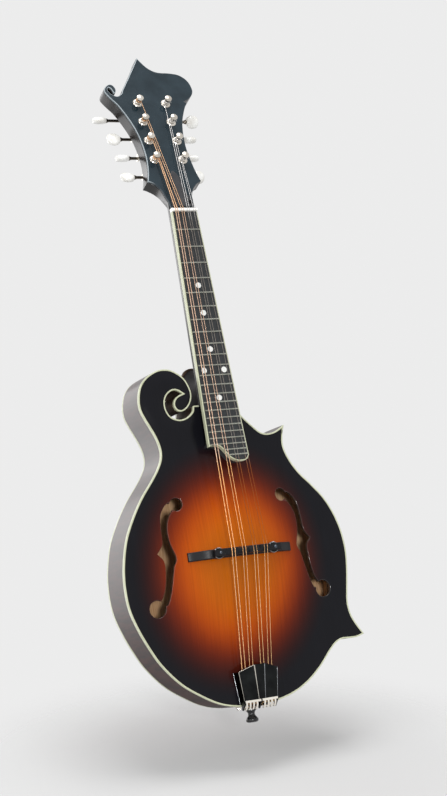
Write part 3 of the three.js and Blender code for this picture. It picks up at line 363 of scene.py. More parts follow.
# Outline points, as shares of the body's half width and of its length from the tail
shoulder_shares = [
    (0.189, 0.865), (0.24, 0.84), (0.308, 0.814), (0.379, 0.791), (0.432, 0.786), (0.496, 0.789),
    (0.552, 0.798), (0.6, 0.809),
]
waist_shares = [
    (0.573, 0.775), (0.566, 0.745), (0.596, 0.708), (0.669, 0.663), (0.77, 0.622), (0.869, 0.577),
    (0.941, 0.525), (0.985, 0.47), (1, 0.414), (0.99, 0.364), (0.965, 0.308), (0.943, 0.255),
    (0.955, 0.219), (0.995, 0.188), (1.049, 0.157),
]
bout_shares = [
    (0.977, 0.15), (0.897, 0.15), (0.829, 0.15), (0.773, 0.141), (0.717, 0.123), (0.61, 0.082),
    (0.476, 0.043), (0.339, 0.018), (0.176, 0.003), (0, 0), (-0.176, 0.003), (-0.327, 0.018),
    (-0.488, 0.051), (-0.628, 0.089), (-0.773, 0.151), (-0.853, 0.203), (-0.918, 0.255), (-0.97, 0.314),
    (-0.984, 0.372), (-0.978, 0.416), (-0.959, 0.458), (-0.917, 0.514), (-0.843, 0.57), (-0.749, 0.625),
    (-0.629, 0.68), (-0.576, 0.707), (-0.538, 0.735), (-0.53, 0.761), (-0.548, 0.792), (-0.594, 0.831),
]
scroll_shares = [
    (-0.629, 0.857), (-0.656, 0.884), (-0.66, 0.905), (-0.651, 0.927), (-0.625, 0.954), (-0.578, 0.975),
    (-0.52, 0.989), (-0.46, 0.998), (-0.404, 1), (-0.348, 0.997), (-0.291, 0.986), (-0.24, 0.97),
    (-0.21, 0.95), (-0.193, 0.928), (-0.197, 0.908), (-0.221, 0.89), (-0.256, 0.877), (-0.296, 0.871),
    (-0.333, 0.874), (-0.355, 0.885), (-0.357, 0.898), (-0.341, 0.909), (-0.312, 0.918), (-0.269, 0.924),
]
slot_shares = [
    (-0.3, 0.932), (-0.339, 0.936), (-0.379, 0.931), (-0.412, 0.92), (-0.432, 0.905), (-0.435, 0.888),
    (-0.424, 0.872), (-0.399, 0.858), (-0.36, 0.85), (-0.316, 0.847), (-0.268, 0.851), (-0.227, 0.86),
    (-0.2, 0.871), (-0.191, 0.885),
]
slot_zone_shares = [(-0.46, 0.845), (-0.185, 0.94)]
arch_rim_shares = [
    (0, 0.036), (0.416, 0.075), (0.737, 0.19), (0.897, 0.376), (0.825, 0.532), (0.608, 0.662),
    (0.456, 0.757), (0.272, 0.81), (0, 0.837),
]
eye_shares = [((0.467, 0.599), 0.052), ((0.733, 0.307), 0.068)]
f_upper_outer_shares = [
    (0.48, 0.613), (0.548, 0.602), (0.602, 0.575), (0.621, 0.527), (0.629, 0.488), (0.679, 0.462),
]
f_lower_outer_shares = [(0.637, 0.441), (0.635, 0.403), (0.66, 0.355), (0.697, 0.327)]
f_lower_inner_shares = [(0.673, 0.296), (0.624, 0.332), (0.592, 0.373), (0.562, 0.42)]
f_upper_inner_shares = [
    (0.535, 0.442), (0.568, 0.491), (0.572, 0.53), (0.55, 0.558), (0.502, 0.582), (0.461, 0.584),
]

# Heel, as shares of its depth and of the button's reach
heel_top_shares = [
    (0, 1.3), (0.12, 1.05), (0.26, 0.84), (0.38, 0.74), (0.5, 0.72), (0.7, 0.8), (0.85, 0.88), (1, 0.96),
]

# The board's end, as shares of its half width and of its reach, and half of the rod's cover
board_end_shares = [
    (-1, 0.19), (-0.8, 0.198), (-0.45, 0.186), (-0.2, 0.12), (0.02, 0.05), (0.32, 0.008), (0.6, 0),
    (0.86, 0.015), (1, 0.06),
]
cover_shares = [(1, 0.04), (0.94, 0.22), (0.6, 0.45), (0.5, 0.7), (0.36, 0.88)]

# Headstock points, as shares of its half width and of its length from the nut
head_treble_shares = [
    (0.25, 0.004), (0.284, 0.083), (0.346, 0.122), (0.42, 0.147), (0.497, 0.165), (0.568, 0.175),
]
head_treble_side_shares = [
    (0.52, 0.232), (0.49, 0.297), (0.469, 0.37), (0.477, 0.436), (0.514, 0.509), (0.566, 0.569),
    (0.641, 0.621), (0.721, 0.667), (0.789, 0.696),
]
head_bulb_shares = [
    (0.731, 0.705), (0.783, 0.714), (0.871, 0.728), (0.955, 0.752), (1, 0.778), (0.996, 0.816),
    (0.955, 0.849), (0.882, 0.873), (0.776, 0.891), (0.66, 0.897), (0.54, 0.9), (0.419, 0.9),
    (0.301, 0.905), (0.194, 0.92), (0.108, 0.942), (0.03, 0.974), (-0.028, 1),
]
head_crown_shares = [(-0.062, 0.981), (-0.226, 0.908), (-0.389, 0.838), (-0.544, 0.773)]
head_valley_shares = [
    (-0.58, 0.752), (-0.64, 0.738), (-0.7, 0.731), (-0.77, 0.738), (-0.845, 0.757), (-0.862, 0.776),
    (-0.83, 0.789), (-0.79, 0.783), (-0.765, 0.766), (-0.75, 0.75),
]
head_curl_shares = [
    (-0.71, 0.755), (-0.684, 0.771), (-0.693, 0.79), (-0.727, 0.805), (-0.783, 0.811), (-0.845, 0.804),
    (-0.907, 0.789), (-0.944, 0.763), (-0.9, 0.735), (-0.828, 0.705), (-0.75, 0.676), (-0.65, 0.618),
    (-0.557, 0.55), (-0.495, 0.482), (-0.465, 0.415), (-0.458, 0.343), (-0.479, 0.281), (-0.518, 0.224),
    (-0.576, 0.172),
]
head_bass_shares = [
    (-0.5, 0.164), (-0.42, 0.147), (-0.346, 0.119), (-0.299, 0.077), (-0.264, 0.042), (-0.25, 0.004),
]


def added(name, data):
    """A new object in the scene."""
    thing = bpy.data.objects.new(name, data)
    bpy.context.scene.collection.objects.link(thing)
    return thing


camera_data = bpy.data.cameras.new("camera")
camera_data.sensor_width = camera_sensor
camera_data.lens = camera_lens
camera = added("camera", camera_data)
camera.location = camera_place
camera.rotation_euler = [math.radians(angle) for angle in camera_angles]
bpy.context.scene.camera = camera


# Curves and outlines
def between(p0, p1, p2, p3, share):
    """A point between p1 and p2 on a smooth curve through four points."""
    gaps = [max((b - a).length, tiny) ** 0.5 for a, b in ((p0, p1), (p1, p2), (p2, p3))]
    first = ((p1 - p0) / gaps[0] - (p2 - p0) / (gaps[0] + gaps[1]) + (p2 - p1) / gaps[1]) * gaps[1]
    second = ((p2 - p1) / gaps[1] - (p3 - p1) / (gaps[1] + gaps[2]) + (p3 - p2) / gaps[2]) * gaps[1]
    square = -3 * p1 + 3 * p2 - 2 * first - second
    cube = 2 * p1 - 2 * p2 + first + second
    return p1 + first * share + square * share ** 2 + cube * share ** 3


def smooth(points, step, closed=False):
    """A smooth line through points, with new points at even steps along it."""
    points = [Vector(point) for point in points]
    if closed:
        row = [points[-1]] + points + points[:2]
    else:
        row = [points[0] * 2 - points[1]] + points + [points[-1] * 2 - points[-2]]
    fine = []
    for start in range(len(row) - 3):
        for part in range(12):
            fine.append(between(*row[start:start + 4], part / 12))
    fine.append(row[-2].copy())
    lengths = [0]
    for one, other in zip(fine, fine[1:]):
        lengths.append(lengths[-1] + (other - one).length)
    pieces = max(len(points) - 1, round(lengths[-1] / step))
    spaced = []
    place = 0
    for number in range(pieces + 1):
        wanted = lengths[-1] * number / pieces
        while place < len(lengths) - 2 and lengths[place + 1] < wanted:
            place += 1
        share = (wanted - lengths[place]) / max(lengths[place + 1] - lengths[place], tiny)
        spaced.append(fine[place].lerp(fine[place + 1], share))
    return spaced[:-1] if closed else spaced


def chain(*runs):
    """Smooth lines, each from the end of the one before, given as points and the step between them."""
    lines = []
    last = []
    for points, step in runs:
        lines.append(smooth(last + points, step))
        last = [points[-1]]
    return lines


def mirrored(half, middle):
    """The points of a line from the left over the middle to the right, from those of its right half."""
    return [(-x, z) for x, z in half] + [middle] + half[::-1]


def area(outline):
    """An outline's area, which is above zero where the outline turns to the left."""
    return sum(a.x * b.y - b.x * a.y for a, b in zip(outline, outline[1:] + outline[:1])) / 2


def joined(runs):
    """One closed outline from lines that follow each other, turning to the left."""
    outline = []
    for point in [point for run in runs for point in run]:
        if not outline or (point - outline[-1]).length > seat_gap:
            outline.append(Vector(point))
    if (outline[0] - outline[-1]).length < seat_gap:
        outline.pop()
    return outline[::-1] if area(outline) < 0 else outline


def offset(outline, distance):
    """An outline moved outwards by a distance, or inwards where that is below zero."""
    moved = []
    for number, point in enumerate(outline):
        before = (point - outline[number - 1]).normalized()
        after = (outline[(number + 1) % len(outline)] - point).normalized()
        normal = Vector((before.y + after.y, -before.x - after.x)).normalized()
        spread = max(normal.x * before.y - normal.y * before.x, mitre_limit)
        moved.append(point + normal * distance / spread)
    return moved


def inside(point, outline):
    hit = False
    for a, b in zip(outline, outline[1:] + outline[:1]):
        if (a.y > point.y) != (b.y > point.y):
            if point.x < (b.x - a.x) * (point.y - a.y) / (b.y - a.y) + a.x:
                hit = not hit
    return hit


def clamped(value):
    return min(max(value, 0), 1)


def shares(count):
    return [step / count for step in range(count + 1)]


def turns(count, whole=math.pi):
    """Angles at even steps, from none to the whole one."""
    return [whole * step / count for step in range(count + 1)]


def circle(centre, radius, count):
    return [
        Vector((centre[0] + radius * math.cos(turn), centre[1] + radius * math.sin(turn)))
        for turn in turns(count, FULL_TURN)[:-1]
    ]


def rounded_box(half_x, half_z, radius, count=6):
    line = []
    corners = ((half_x, half_z), (-half_x, half_z), (-half_x, -half_z), (half_x, -half_z))
    for quarter, (x, z) in enumerate(corners):
        for share in shares(count):
            turn = math.pi / 2 * (quarter + share)
            line.append(Vector((
                x - math.copysign(radius, x) + radius * math.cos(turn),
                z - math.copysign(radius, z) + radius * math.sin(turn),
            )))
    return line


def arch(half_width, power, low, height, count):
    """Points of a rounded arch from the left to the right, across and up from its foot."""
    return [
        (-half_width * math.cos(turn), low + height * math.sin(turn) ** power)
        for turn in turns(count)
    ]


# Forms: lists of points and faces, each face with the number of its material
class Form:
    def __init__(self, matrix=None):
        self.matrix = matrix or Matrix.Identity(4)
        self.points = []
        self.faces = []
        self.marks = []

    def add(self, points, faces, mark=0, matrix=None):
        start = len(self.points)
        matrix = self.matrix @ (matrix or Matrix.Identity(4))
        self.points += [matrix @ Vector(point) for point in points]
        self.faces += [[start + corner for corner in face] for face in faces]
        self.marks += [mark] * len(faces)
        return self

    def loft(self, rings, mark=0, matrix=None, ends="capped"):
        """A skin over rings of points, whose two ends are capped, open or joined to each other."""
        count = len(rings[0])
        total = len(rings) * count
        faces = []
        for start in range(0, total if ends == "joined" else total - count, count):
            after = (start + count) % total
            for side in range(count):
                ahead = (side + 1) % count
                faces.append([start + side, start + ahead, after + ahead, after + side])
        if ends == "capped":
            faces += [list(range(count)), list(range(total - count, total))[::-1]]
        return self.add([point for ring in rings for point in ring], faces, mark, matrix)

    def prism(self, outline, front, back, mark=0):
        """An outline in X and Z, carried from one depth to another."""
        return self.loft([[(x, depth, z) for x, z in outline] for depth in (front, back)], mark)

    def across(self, outline, left, right, mark=0):
        """An outline in Y and Z, carried from the left to the right."""
        return self.loft([[(x, y, z) for y, z in outline] for x in (left, right)], mark)

    def band(self, outer, inner, front, back):
        """A closed strip between two outlines with equally many points."""
        lines = ((outer, front), (outer, back), (inner, back), (inner, front))
        return self.loft([[(x, depth, z) for x, z in line] for line, depth in lines], ends="joined")

    def turned(self, profile, count, mark=0, matrix=None):
        """Turns points of radius and height about the Z axis of the matrix."""
        rings = []
        for radius, height in profile:
            rings.append([(p.x, p.y, height) for p in circle((0, 0), max(radius, axis_radius), count)])
        return self.loft(rings, mark, matrix)

    def tube(self, path, radius, count, mark=0):
        path = [Vector(point) for point in path]
        across = None
        rings = []
        for number, point in enumerate(path):
            ahead = (path[min(number + 1, len(path) - 1)] - path[max(number - 1, 0)]).normalized()
            if across is None:
                across = ahead.orthogonal().normalized()
            across = (across - ahead * across.dot(ahead)).normalized()
            other = ahead.cross(across)
            rings.append([point + across * p.x + other * p.y for p in circle((0, 0), radius, count)])
        return self.loft(rings, mark)

    def mark_where(self, test, mark=1):
        """Gives another material to the faces whose middles pass a test."""
        for number, face in enumerate(self.faces):
            if test(sum((self.points[corner] for corner in face), Vector()) / len(face)):
                self.marks[number] = mark
        return self

    def piece(self, name, materials, slot, stands_for=(), body="body", bevel=0, angle=35, segments=2):
        """The form as an object that rides on a body and stands for solids of the CAD model."""
        mesh = bpy.data.meshes.new(name)
        mesh.from_pydata([point * MM for point in self.points], [], self.faces)
        for polygon, mark in zip(mesh.polygons, self.marks):
            polygon.material_index = mark
        work = bmesh.new()
        work.from_mesh(mesh)
        bmesh.ops.recalc_face_normals(work, faces=work.faces)
        work.to_mesh(mesh)
        work.free()
        mesh.shade_smooth()
        mesh.set_sharp_from_angle(angle=math.radians(angle))
        for material in materials:
            mesh.materials.append(material)
        thing = added(name, mesh)
        if bevel:
            modifier = thing.modifiers.new("bevel", "BEVEL")
            modifier.width = bevel * MM
            modifier.segments = segments
            modifier.limit_method = "ANGLE"
            modifier.angle_limit = math.radians(angle)
        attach(thing, body)
        if stands_for:
            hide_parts(*stands_for)
        return thing


def about(axis, centre):
    """Puts the Z axis of a turned form along another axis, at a centre."""
    turn = {
        "x": Matrix.Rotation(math.pi / 2, 4, "Y"),
        "y": Matrix.Rotation(-math.pi / 2, 4, "X"),
    }
    return Matrix.Translation(centre) @ turn[axis]


# Materials. A colour is a share of white, or red, green and blue up to 255
def tone(colour):
    """Blender's own numbers for a colour, which for red, green and blue follow the sRGB curve."""
    if isinstance(colour, tuple):
        return [
            level / 255 / 12.92 if level < 10 else ((level / 255 + 0.055) / 1.055) ** 2.4 for level in colour
        ] + [1]
    return [colour, colour, colour, 1]


def shader_of(material):
    return material.node_tree.nodes["Principled BSDF"]


def finish(name, colour, roughness, metallic=0, specular=0.5, coat=0):
    material = bpy.data.materials.new(name)
    material.use_nodes = True
    values = {
        "Base Color": tone(colour), "Roughness": roughness, "Metallic": metallic,
        "Specular IOR Level": specular, "Coat Weight": coat, "Coat Roughness": coat_roughness,
    }
    for socket, value in values.items():
        shader_of(material).inputs[socket].default_value = value
    return material


def node(material, kind, settings=None, links=None, **values):
    """A new node, with its settings, the outputs that it takes and the values of its other sockets."""
    made = material.node_tree.nodes.new(kind)
    for key, value in (settings or {}).items():
        setattr(made, key, value)
    for key, value in values.items():
        made.inputs[key.replace("_", " ")].default_value = value
    for key, source in (links or {}).items():
        material.node_tree.links.new(source, made.inputs[key])
    return made


def feed(material, socket, output):
    material.node_tree.links.new(output, shader_of(material).inputs[socket])


def object_place(material):
    return node(material, "ShaderNodeTexCoord").outputs["Object"]


def stretched(material, scale, **values):
    links = {"Vector": object_place(material)}
    return node(material, "ShaderNodeMapping", links=links, Scale=scale, **values).outputs["Vector"]


def noise(material, scale, detail=3):
    """Noise in the object's own space, with one scale or one for each axis."""
    scale = scale if isinstance(scale, tuple) else (scale, scale, scale)
    links = {"Vector": stretched(material, scale)}
    return node(material, "ShaderNodeTexNoise", links=links, Scale=1, Detail=detail).outputs["Fac"]


def ramp(material, source, stops, interpolation="LINEAR"):
    made = node(material, "ShaderNodeValToRGB", links={"Fac": source})
    made.color_ramp.interpolation = interpolation
    elements = made.color_ramp.elements
    while len(elements) < len(stops):
        elements.new(0.5)
    for element, (place, colour) in zip(elements, stops):
        element.position = place
        element.color = tone(colour)
    return made.outputs["Color"]


def spread_ramp(material, source, colours, spread=0.2, interpolation="LINEAR"):
    """A ramp with its colours evenly spread about the middle of its source."""
    places = [0.5 - spread + 2 * spread * share for share in shares(len(colours) - 1)]
    return ramp(material, source, list(zip(places, colours)), interpolation)


def bump(material, source, strength, distance):
    made = node(material, "ShaderNodeBump", links={"Height": source}, Strength=strength, Distance=distance)
    feed(material, "Normal", made.outputs["Normal"])


def gloss_from(material, source, low, high):
    made = node(material, "ShaderNodeMapRange", links={"Value": source}, To_Min=low, To_Max=high)
    feed(material, "Roughness", made.outputs["Result"])


def place_along(material, axis):
    parts = node(material, "ShaderNodeSeparateXYZ", links={"Vector": object_place(material)})
    return parts.outputs[axis]


def along(material, axis, low, high, at_low, at_high):
    """A value that goes smoothly from one to another between two places along an axis of the object."""
    return node(
        material, "ShaderNodeMapRange", {"interpolation_type": "SMOOTHSTEP"},
        {"Value": place_along(material, axis)},
        From_Min=low * MM, From_Max=high * MM, To_Min=at_low, To_Max=at_high,
    ).outputs["Result"]


def distance_from(material, vector):
    made = node(material, "ShaderNodeVectorMath", {"operation": "LENGTH"}, {"Vector": vector})
    return made.outputs["Value"]


def maths(material, operation, first, second):
    return node(material, "ShaderNodeMath", {"operation": operation}, {0: first, 1: second}).outputs["Value"]


def multiplied(material, factor, first, second):
    settings = {"data_type": "RGBA", "blend_type": "MULTIPLY"}
    made = node(material, "ShaderNodeMix", settings, {6: first, 7: second})
    made.inputs[0].default_value = factor
    return made.outputs[2]


def clouded(name, colours, scale, detail=3, roughness=0.3, gloss=None, relief=None, spread=0.2,
            interpolation="LINEAR", **shine):
    """A finish whose colours, and where given its roughness and its relief, follow one noise."""
    material = finish(name, colours[-1], roughness, **shine)
    cloud = noise(material, scale, detail)
    if len(colours) > 1:
        feed(material, "Base Color", spread_ramp(material, cloud, colours, spread, interpolation))
    if gloss:
        gloss_from(material, cloud, *gloss)
    if relief:
        bump(material, cloud, *relief)
    return material


def metal(name, light, dark, low, high):
    return clouded(name, [dark, light], 90, 4, low, (low, high), metallic=1)


def sunburst(name, specular):
    """Amber in the middle of the top, through red, to near black at its edge."""
    material = finish(name, (150, 60, 20), 0.16, specular=specular)
    middle = body_bottom + burst_centre_share * body_length
    stretch = node(
        material, "ShaderNodeMapping", {"vector_type": "TEXTURE"}, {"Vector": object_place(material)},
        Location=(-burst_shift * MM, 0, middle * MM), Rotation=(0, burst_tilt, 0),
        Scale=(burst_half_width * MM, 1, burst_half_height * MM),
    )
    burst = ramp(material, distance_from(material, stretch.outputs["Vector"]), [
        (0, (178, 94, 8)), (0.34, (190, 92, 5)), (0.5, (182, 74, 4)), (0.64, (124, 40, 7)),
        (0.76, (72, 23, 13)), (0.88, (33, 17, 19)), (1, (18, 22, 27)),
    ], "B_SPLINE")
    grain = noise(material, (1500, 60, 14), 2)
    lines = spread_ramp(material, grain, [0.78, 1])
    patches = spread_ramp(material, noise(material, (60, 60, 25), 2), [0.9, 1])
    feed(material, "Base Color", multiplied(material, 0.8, multiplied(material, 0.8, burst, lines), patches))
    bump(material, grain, *lacquer_relief)
    return material


def back_burst(name):
    """Brown in the middle of the flamed back, dark at its edge."""
    material = finish(name, (110, 40, 24), 0.14, specular=0.4, coat=0.3)
    radius = back_burst_radius * MM
    middle = (body_bottom + back_burst_centre_share * body_length) * MM
    stretch = stretched(material, (1 / radius, 0, 1 / radius), Location=(0, 0, -middle / radius))
    burst = ramp(material, distance_from(material, stretch), [
        (0, (140, 62, 26)), (0.4, (120, 46, 24)), (0.7, (70, 26, 20)), (1, (24, 13, 13)),
    ], "B_SPLINE")
    flame = spread_ramp(material, noise(material, (25, 1, 190), 2), [0.6, 1], 0.15, "EASE")
    feed(material, "Base Color", multiplied(material, 0.7, burst, flame))
    bump(material, noise(material, (900, 60, 14), 2), *lacquer_relief)
    return material


def stained(name, light, dark, flames, lines, roughness, specular=0.5):
    """Lacquered maple, with a broad flame and fine lines along the grain."""
    material = finish(name, dark, roughness, specular=specular)
    flame = spread_ramp(material, noise(material, flames, 2), [dark, light], 0.15, "EASE")
    grain = noise(material, lines, 3)
    feed(material, "Base Color", multiplied(material, 0.7, flame, spread_ramp(material, grain, [0.7, 1])))
    bump(material, grain, *lacquer_relief)
    return material


def string_metal(name, colour, low, high, below, over_top, over_board, at_head):
    """A string's metal whose colour holds painted reflections, changing along its height: one colour below
    the saddle, one over the top, one over the dark board and one at the head.
    """
    material = finish(name, colour, low, metallic=1)
    cloud = noise(material, 300, 4)
    gloss_from(material, cloud, low, high)
    height = node(
        material, "ShaderNodeMapRange", links={"Value": place_along(material, "Z")},
        From_Max=full_height * MM)
    board_z = saddle_z + board_tail
    places = [
        (saddle_z - string_fade, below), (saddle_z + string_fade, over_top),
        (board_z - string_fade, over_top), (board_z + string_fade, over_board),
        (nut_z - string_fade * 2, over_board), (nut_z + string_fade, at_head),
    ]
    # Painted reflections, set by the height along the string
    painted_reflection = ramp(
        material, height.outputs["Result"], [(place / full_height, there) for place, there in places])
    shade = spread_ramp(material, cloud, [0.8, 1])
    feed(material, "Base Color", multiplied(material, 1, shade, painted_reflection))
    return material


top_finish = sunburst("top_sunburst", specular=0.13)
hole_finish = sunburst("hole_edge_sunburst", specular=0.6)
back_finish = back_burst("back_sunburst")
side_grain = {"flames": (40, 40, 260), "lines": (300, 300, 20)}
neck_grain = {"flames": (30, 30, 220), "lines": (600, 600, 12)}
side_finish = stained("side_lacquer", (58, 29, 27), (38, 20, 20), roughness=0.3, **side_grain)
slot_finish = stained(
    "slot_lacquer", (84, 64, 50), (56, 43, 35), roughness=0.6, specular=0.15, **side_grain)
neck_finish = stained("neck_lacquer", (26, 22, 23), (14, 14, 16), roughness=0.24, **neck_grain)
heel_finish = stained(
    "heel_lacquer", (26, 22, 23), (14, 14, 16), roughness=0.6, specular=0.1, **neck_grain)
feed(side_finish, "Roughness", along(side_finish, "Z", side_gloss_low, side_gloss_high, 0.62, 0.3))
feed(neck_finish, "Roughness", along(neck_finish, "Z", neck_gloss_low, neck_gloss_high, 0.6, 0.24))

bare_wood = clouded(
    "bare_spruce", [(176, 132, 92), (214, 176, 134)], (900, 900, 12), roughness=0.6, relief=wood_relief)
ivory = clouded(
    "ivory_binding", [(182, 185, 155), (200, 203, 175)], (500, 500, 60), roughness=0.28,
    relief=ivory_relief)
black_gloss = clouded(
    "black_lacquer", [(26, 39, 46), (36, 50, 58)], 60, roughness=0.1, gloss=(0.08, 0.16), specular=0.3)
cover_finish = clouded("cover_lacquer", [(52, 53, 56), (66, 66, 68)], 60, roughness=0.14, specular=0.3)
board_wood = clouded(
    "fingerboard_ebony", [(27, 29, 31), (46, 49, 51)], (1600, 1600, 30), 4, 0.42, relief=board_relief,
    specular=0.4)
bridge_wood = clouded(
    "bridge_ebony", [(12, 12, 14), (28, 28, 31)], (40, 1400, 1400), 4, 0.35, relief=wood_relief,
    specular=0.2)
bone = clouded("nut_bone", [(251, 248, 240), (255, 254, 250)], 300, 4, relief=fine_relief)
pearl = clouded(
    "pearl_button", [(224, 222, 216), (243, 243, 240)], 120, 2, 0.22, relief=pearl_relief, spread=0.15,
    interpolation="EASE", coat=0.3)
shell = clouded(
    "dot_shell", [(205, 214, 216), (236, 234, 230), (214, 226, 218)], 700, roughness=0.2, coat=0.4)
black_plastic = clouded("pin_black", [(22, 22, 24)], 200, gloss=(0.14, 0.26), relief=fine_relief)

nickel = metal("polished_nickel", (214, 210, 200), (190, 186, 176), 0.12, 0.24)
warm_nickel = metal("tuner_nickel", (226, 220, 210), (194, 187, 176), 0.1, 0.2)
# The key shafts' polished nickel is coloured dark: a painted dark reflection
shaft_nickel_painted_dark = metal("shaft_nickel_painted_dark", (96, 90, 82), (70, 66, 60), 0.16, 0.28)
bright_nickel = metal("bright_nickel", (252, 247, 236), (240, 234, 222), 0.14, 0.26)
black_nickel = metal("dark_nickel", (40, 42, 42), (28, 29, 30), 0.1, 0.2)
wheel_nickel = metal("wheel_nickel", (140, 143, 145), (112, 115, 118), 0.16, 0.28)
# The studs' polished nickel is coloured dark and bluish: a painted dark reflection
stud_nickel_painted_dark = metal("stud_nickel_painted_dark", (92, 98, 106), (66, 72, 80), 0.12, 0.22)
fret_wire = metal("fret_wire", (178, 180, 170), (150, 152, 143), 0.2, 0.32)

# The strings' colours paint the reflections of what lies behind each stretch of them
steel = string_metal(
    "plain_steel", (226, 224, 222), 0.34, 0.44, below=(206, 166, 118), over_top=(150, 82, 34),
    over_board=(140, 132, 124), at_head=(230, 228, 226))
bronze = string_metal(
    "bronze_winding", (226, 184, 146), 0.28, 0.4, below=(214, 164, 116), over_top=(236, 172, 112),
    over_board=(214, 180, 156), at_head=(226, 184, 146))
ridges = node(
    bronze, "ShaderNodeTexWave", {"bands_direction": "Z"}, {"Vector": stretched(bronze, (0, 0, 1))},
    Scale=900)
bump(bronze, ridges.outputs["Fac"], *winding_relief)

# The rounded edge of the head's face, with a painted highlight: light only above the ear on the bass side,
# dark lacquer elsewhere
painted_edge_highlight = clouded("head_edge_painted_highlight", [(150, 160, 165)], 60, roughness=0.2, gloss=(0.16, 0.26))
ear_z = saddle_z + nut_top + ear_share * head_length
above_ear = along(painted_edge_highlight, "Z", ear_z - edge_fade, ear_z, 0, 1)
on_bass_side = along(painted_edge_highlight, "X", 0, edge_fade, 1, 0)
feed(painted_edge_highlight, "Base Color", ramp(
    painted_edge_highlight, maths(painted_edge_highlight, "MULTIPLY", above_ear, on_bass_side),
    [(0, (34, 47, 55)), (1, (150, 160, 165))]))


# Body outlines, in X and Z
def body_place(share):
    return (share[0] * body_half_width, body_bottom + share[1] * body_length)


def body_line(points):
    return [body_place(share) for share in points]


def neck_half_width(from_nut):
    return board_half_width + board_taper * from_nut + seat_gap + board_binding


joint_half_width = neck_half_width(scale_length - joint) + binding_width
scroll = body_line(scroll_shares)
body_runs = chain(
    ([(joint_half_width, joint_z)] + body_line(shoulder_shares), outline_step),
    (body_line(waist_shares), outline_step),
    (body_line(bout_shares) + scroll[:3], outline_step),
    (scroll[3:], scroll_step),
    (body_line(slot_shares) + [(-joint_half_width, joint_z)], scroll_step),
)
body_outline = joined(body_runs)
heel_line = smooth(mirrored([
    (joint_half_width, joint_z), (button_half_width, joint_z + button_reach / 4),
    (button_half_width, joint_z + button_reach / 2),
    (button_half_width / 2, joint_z + button_reach * button_shoulder_share),
], (0, joint_z + button_reach)), outline_step)
back_outline = joined(body_runs + [heel_line])


def f_hole(side):
    """The stem of an f-hole, with an eye joined to it wherever its line runs into one."""
    lines = [
        chain((body_line(first), scroll_step), (body_line(second), scroll_step))
        for first, second in (
            (f_upper_outer_shares, f_lower_outer_shares), (f_lower_inner_shares, f_upper_inner_shares))
    ]
    stem = joined(lines[0] + lines[1])
    eyes = [(Vector(body_place(middle)), radius * body_half_width) for middle, radius in eye_shares]

    def eye_at(point):
        near = [eye for eye in eyes if (point - eye[0]).length < eye[1] * eye_margin]
        return near[0] if near else None

    outline = []
    for number, point in enumerate(stem):
        if eye_at(point):
            continue
        outline.append(point)
        ahead = number + 1
        eye = eye_at(stem[ahead % len(stem)])
        if eye:
            centre, radius = eye
            while (stem[ahead % len(stem)] - centre).length < radius * eye_margin:
                ahead += 1
            leaving = stem[ahead % len(stem)]
            start = math.atan2(point.y - centre.y, point.x - centre.x)
            end = math.atan2(leaving.y - centre.y, leaving.x - centre.x)
            while end < start:
                end += FULL_TURN
            if end - start < math.pi:
                end += FULL_TURN
            for turn in turns(eye_steps, end - start):
                outline.append(centre + Vector((math.cos(start + turn), math.sin(start + turn))) * radius)
    if side < 0:
        outline = [Vector((-point.x, point.y)) for point in outline][::-1]
    return outline


f_holes = [f_hole(side) for side in sides.values()]

# The arch of the plates
arch_rim = body_line(arch_rim_shares)
arch_rim = smooth(arch_rim + [(-x, z) for x, z in arch_rim[-2:0:-1]], outline_step, True)
arch_centre = Vector((0, body_bottom + arch_centre_share * body_length))
rim_turns = sorted(
    (math.atan2(p.y - arch_centre.y, p.x - arch_centre.x), (p - arch_centre).length) for p in arch_rim)
before_first = (rim_turns[-1][0] - FULL_TURN, rim_turns[-1][1])
after_last = (rim_turns[0][0] + FULL_TURN, rim_turns[0][1])
rim_turns = [before_first] + rim_turns + [after_last]


def arch_share(x, z):
    """How far a place is from the arch's centre, as a share of the way to its rim."""
    reach = Vector((x, z)) - arch_centre
    turn = math.atan2(reach.y, reach.x)
    for (low, first), (high, second) in zip(rim_turns, rim_turns[1:]):
        if low <= turn <= high:
            radius = first + (second - first) * (turn - low) / max(high - low, tiny)
            return reach.length / radius
    return 2


def arch_rise(share, height):
    if share >= 1:
        return 0
    recurve = max((share - recurve_start_share) / (1 - recurve_start_share), 0)
    return height * math.cos(share * math.pi / 2) ** 2 - recurve_depth * math.sin(math.pi * recurve) ** 2


def edge_distance(point, outline):
    least = math.inf
    for a, b in zip(outline, outline[1:] + outline[:1]):
        span = b - a
        share = clamped((point - a).dot(span) / max(span.length_squared, tiny))
        least = min(least, (point - a - span * share).length)
    return least


def ridge(point, outline):
    """The scroll's carved ridge: it swells away from the binding, on the bass side of the neck."""
    zone_x = clamped((-point.x - joint_half_width * ridge_start_share) / ridge_reach)
    zone_z = clamped((point.y - joint_z + ridge_length) / ridge_run)
    if zone_x * zone_z == 0:
        return 0
    near = min(edge_distance(point, outline) / ridge_reach, 1)
    return scroll_ridge * math.sin(near * math.pi / 2) ** 2 * zone_x * zone_z


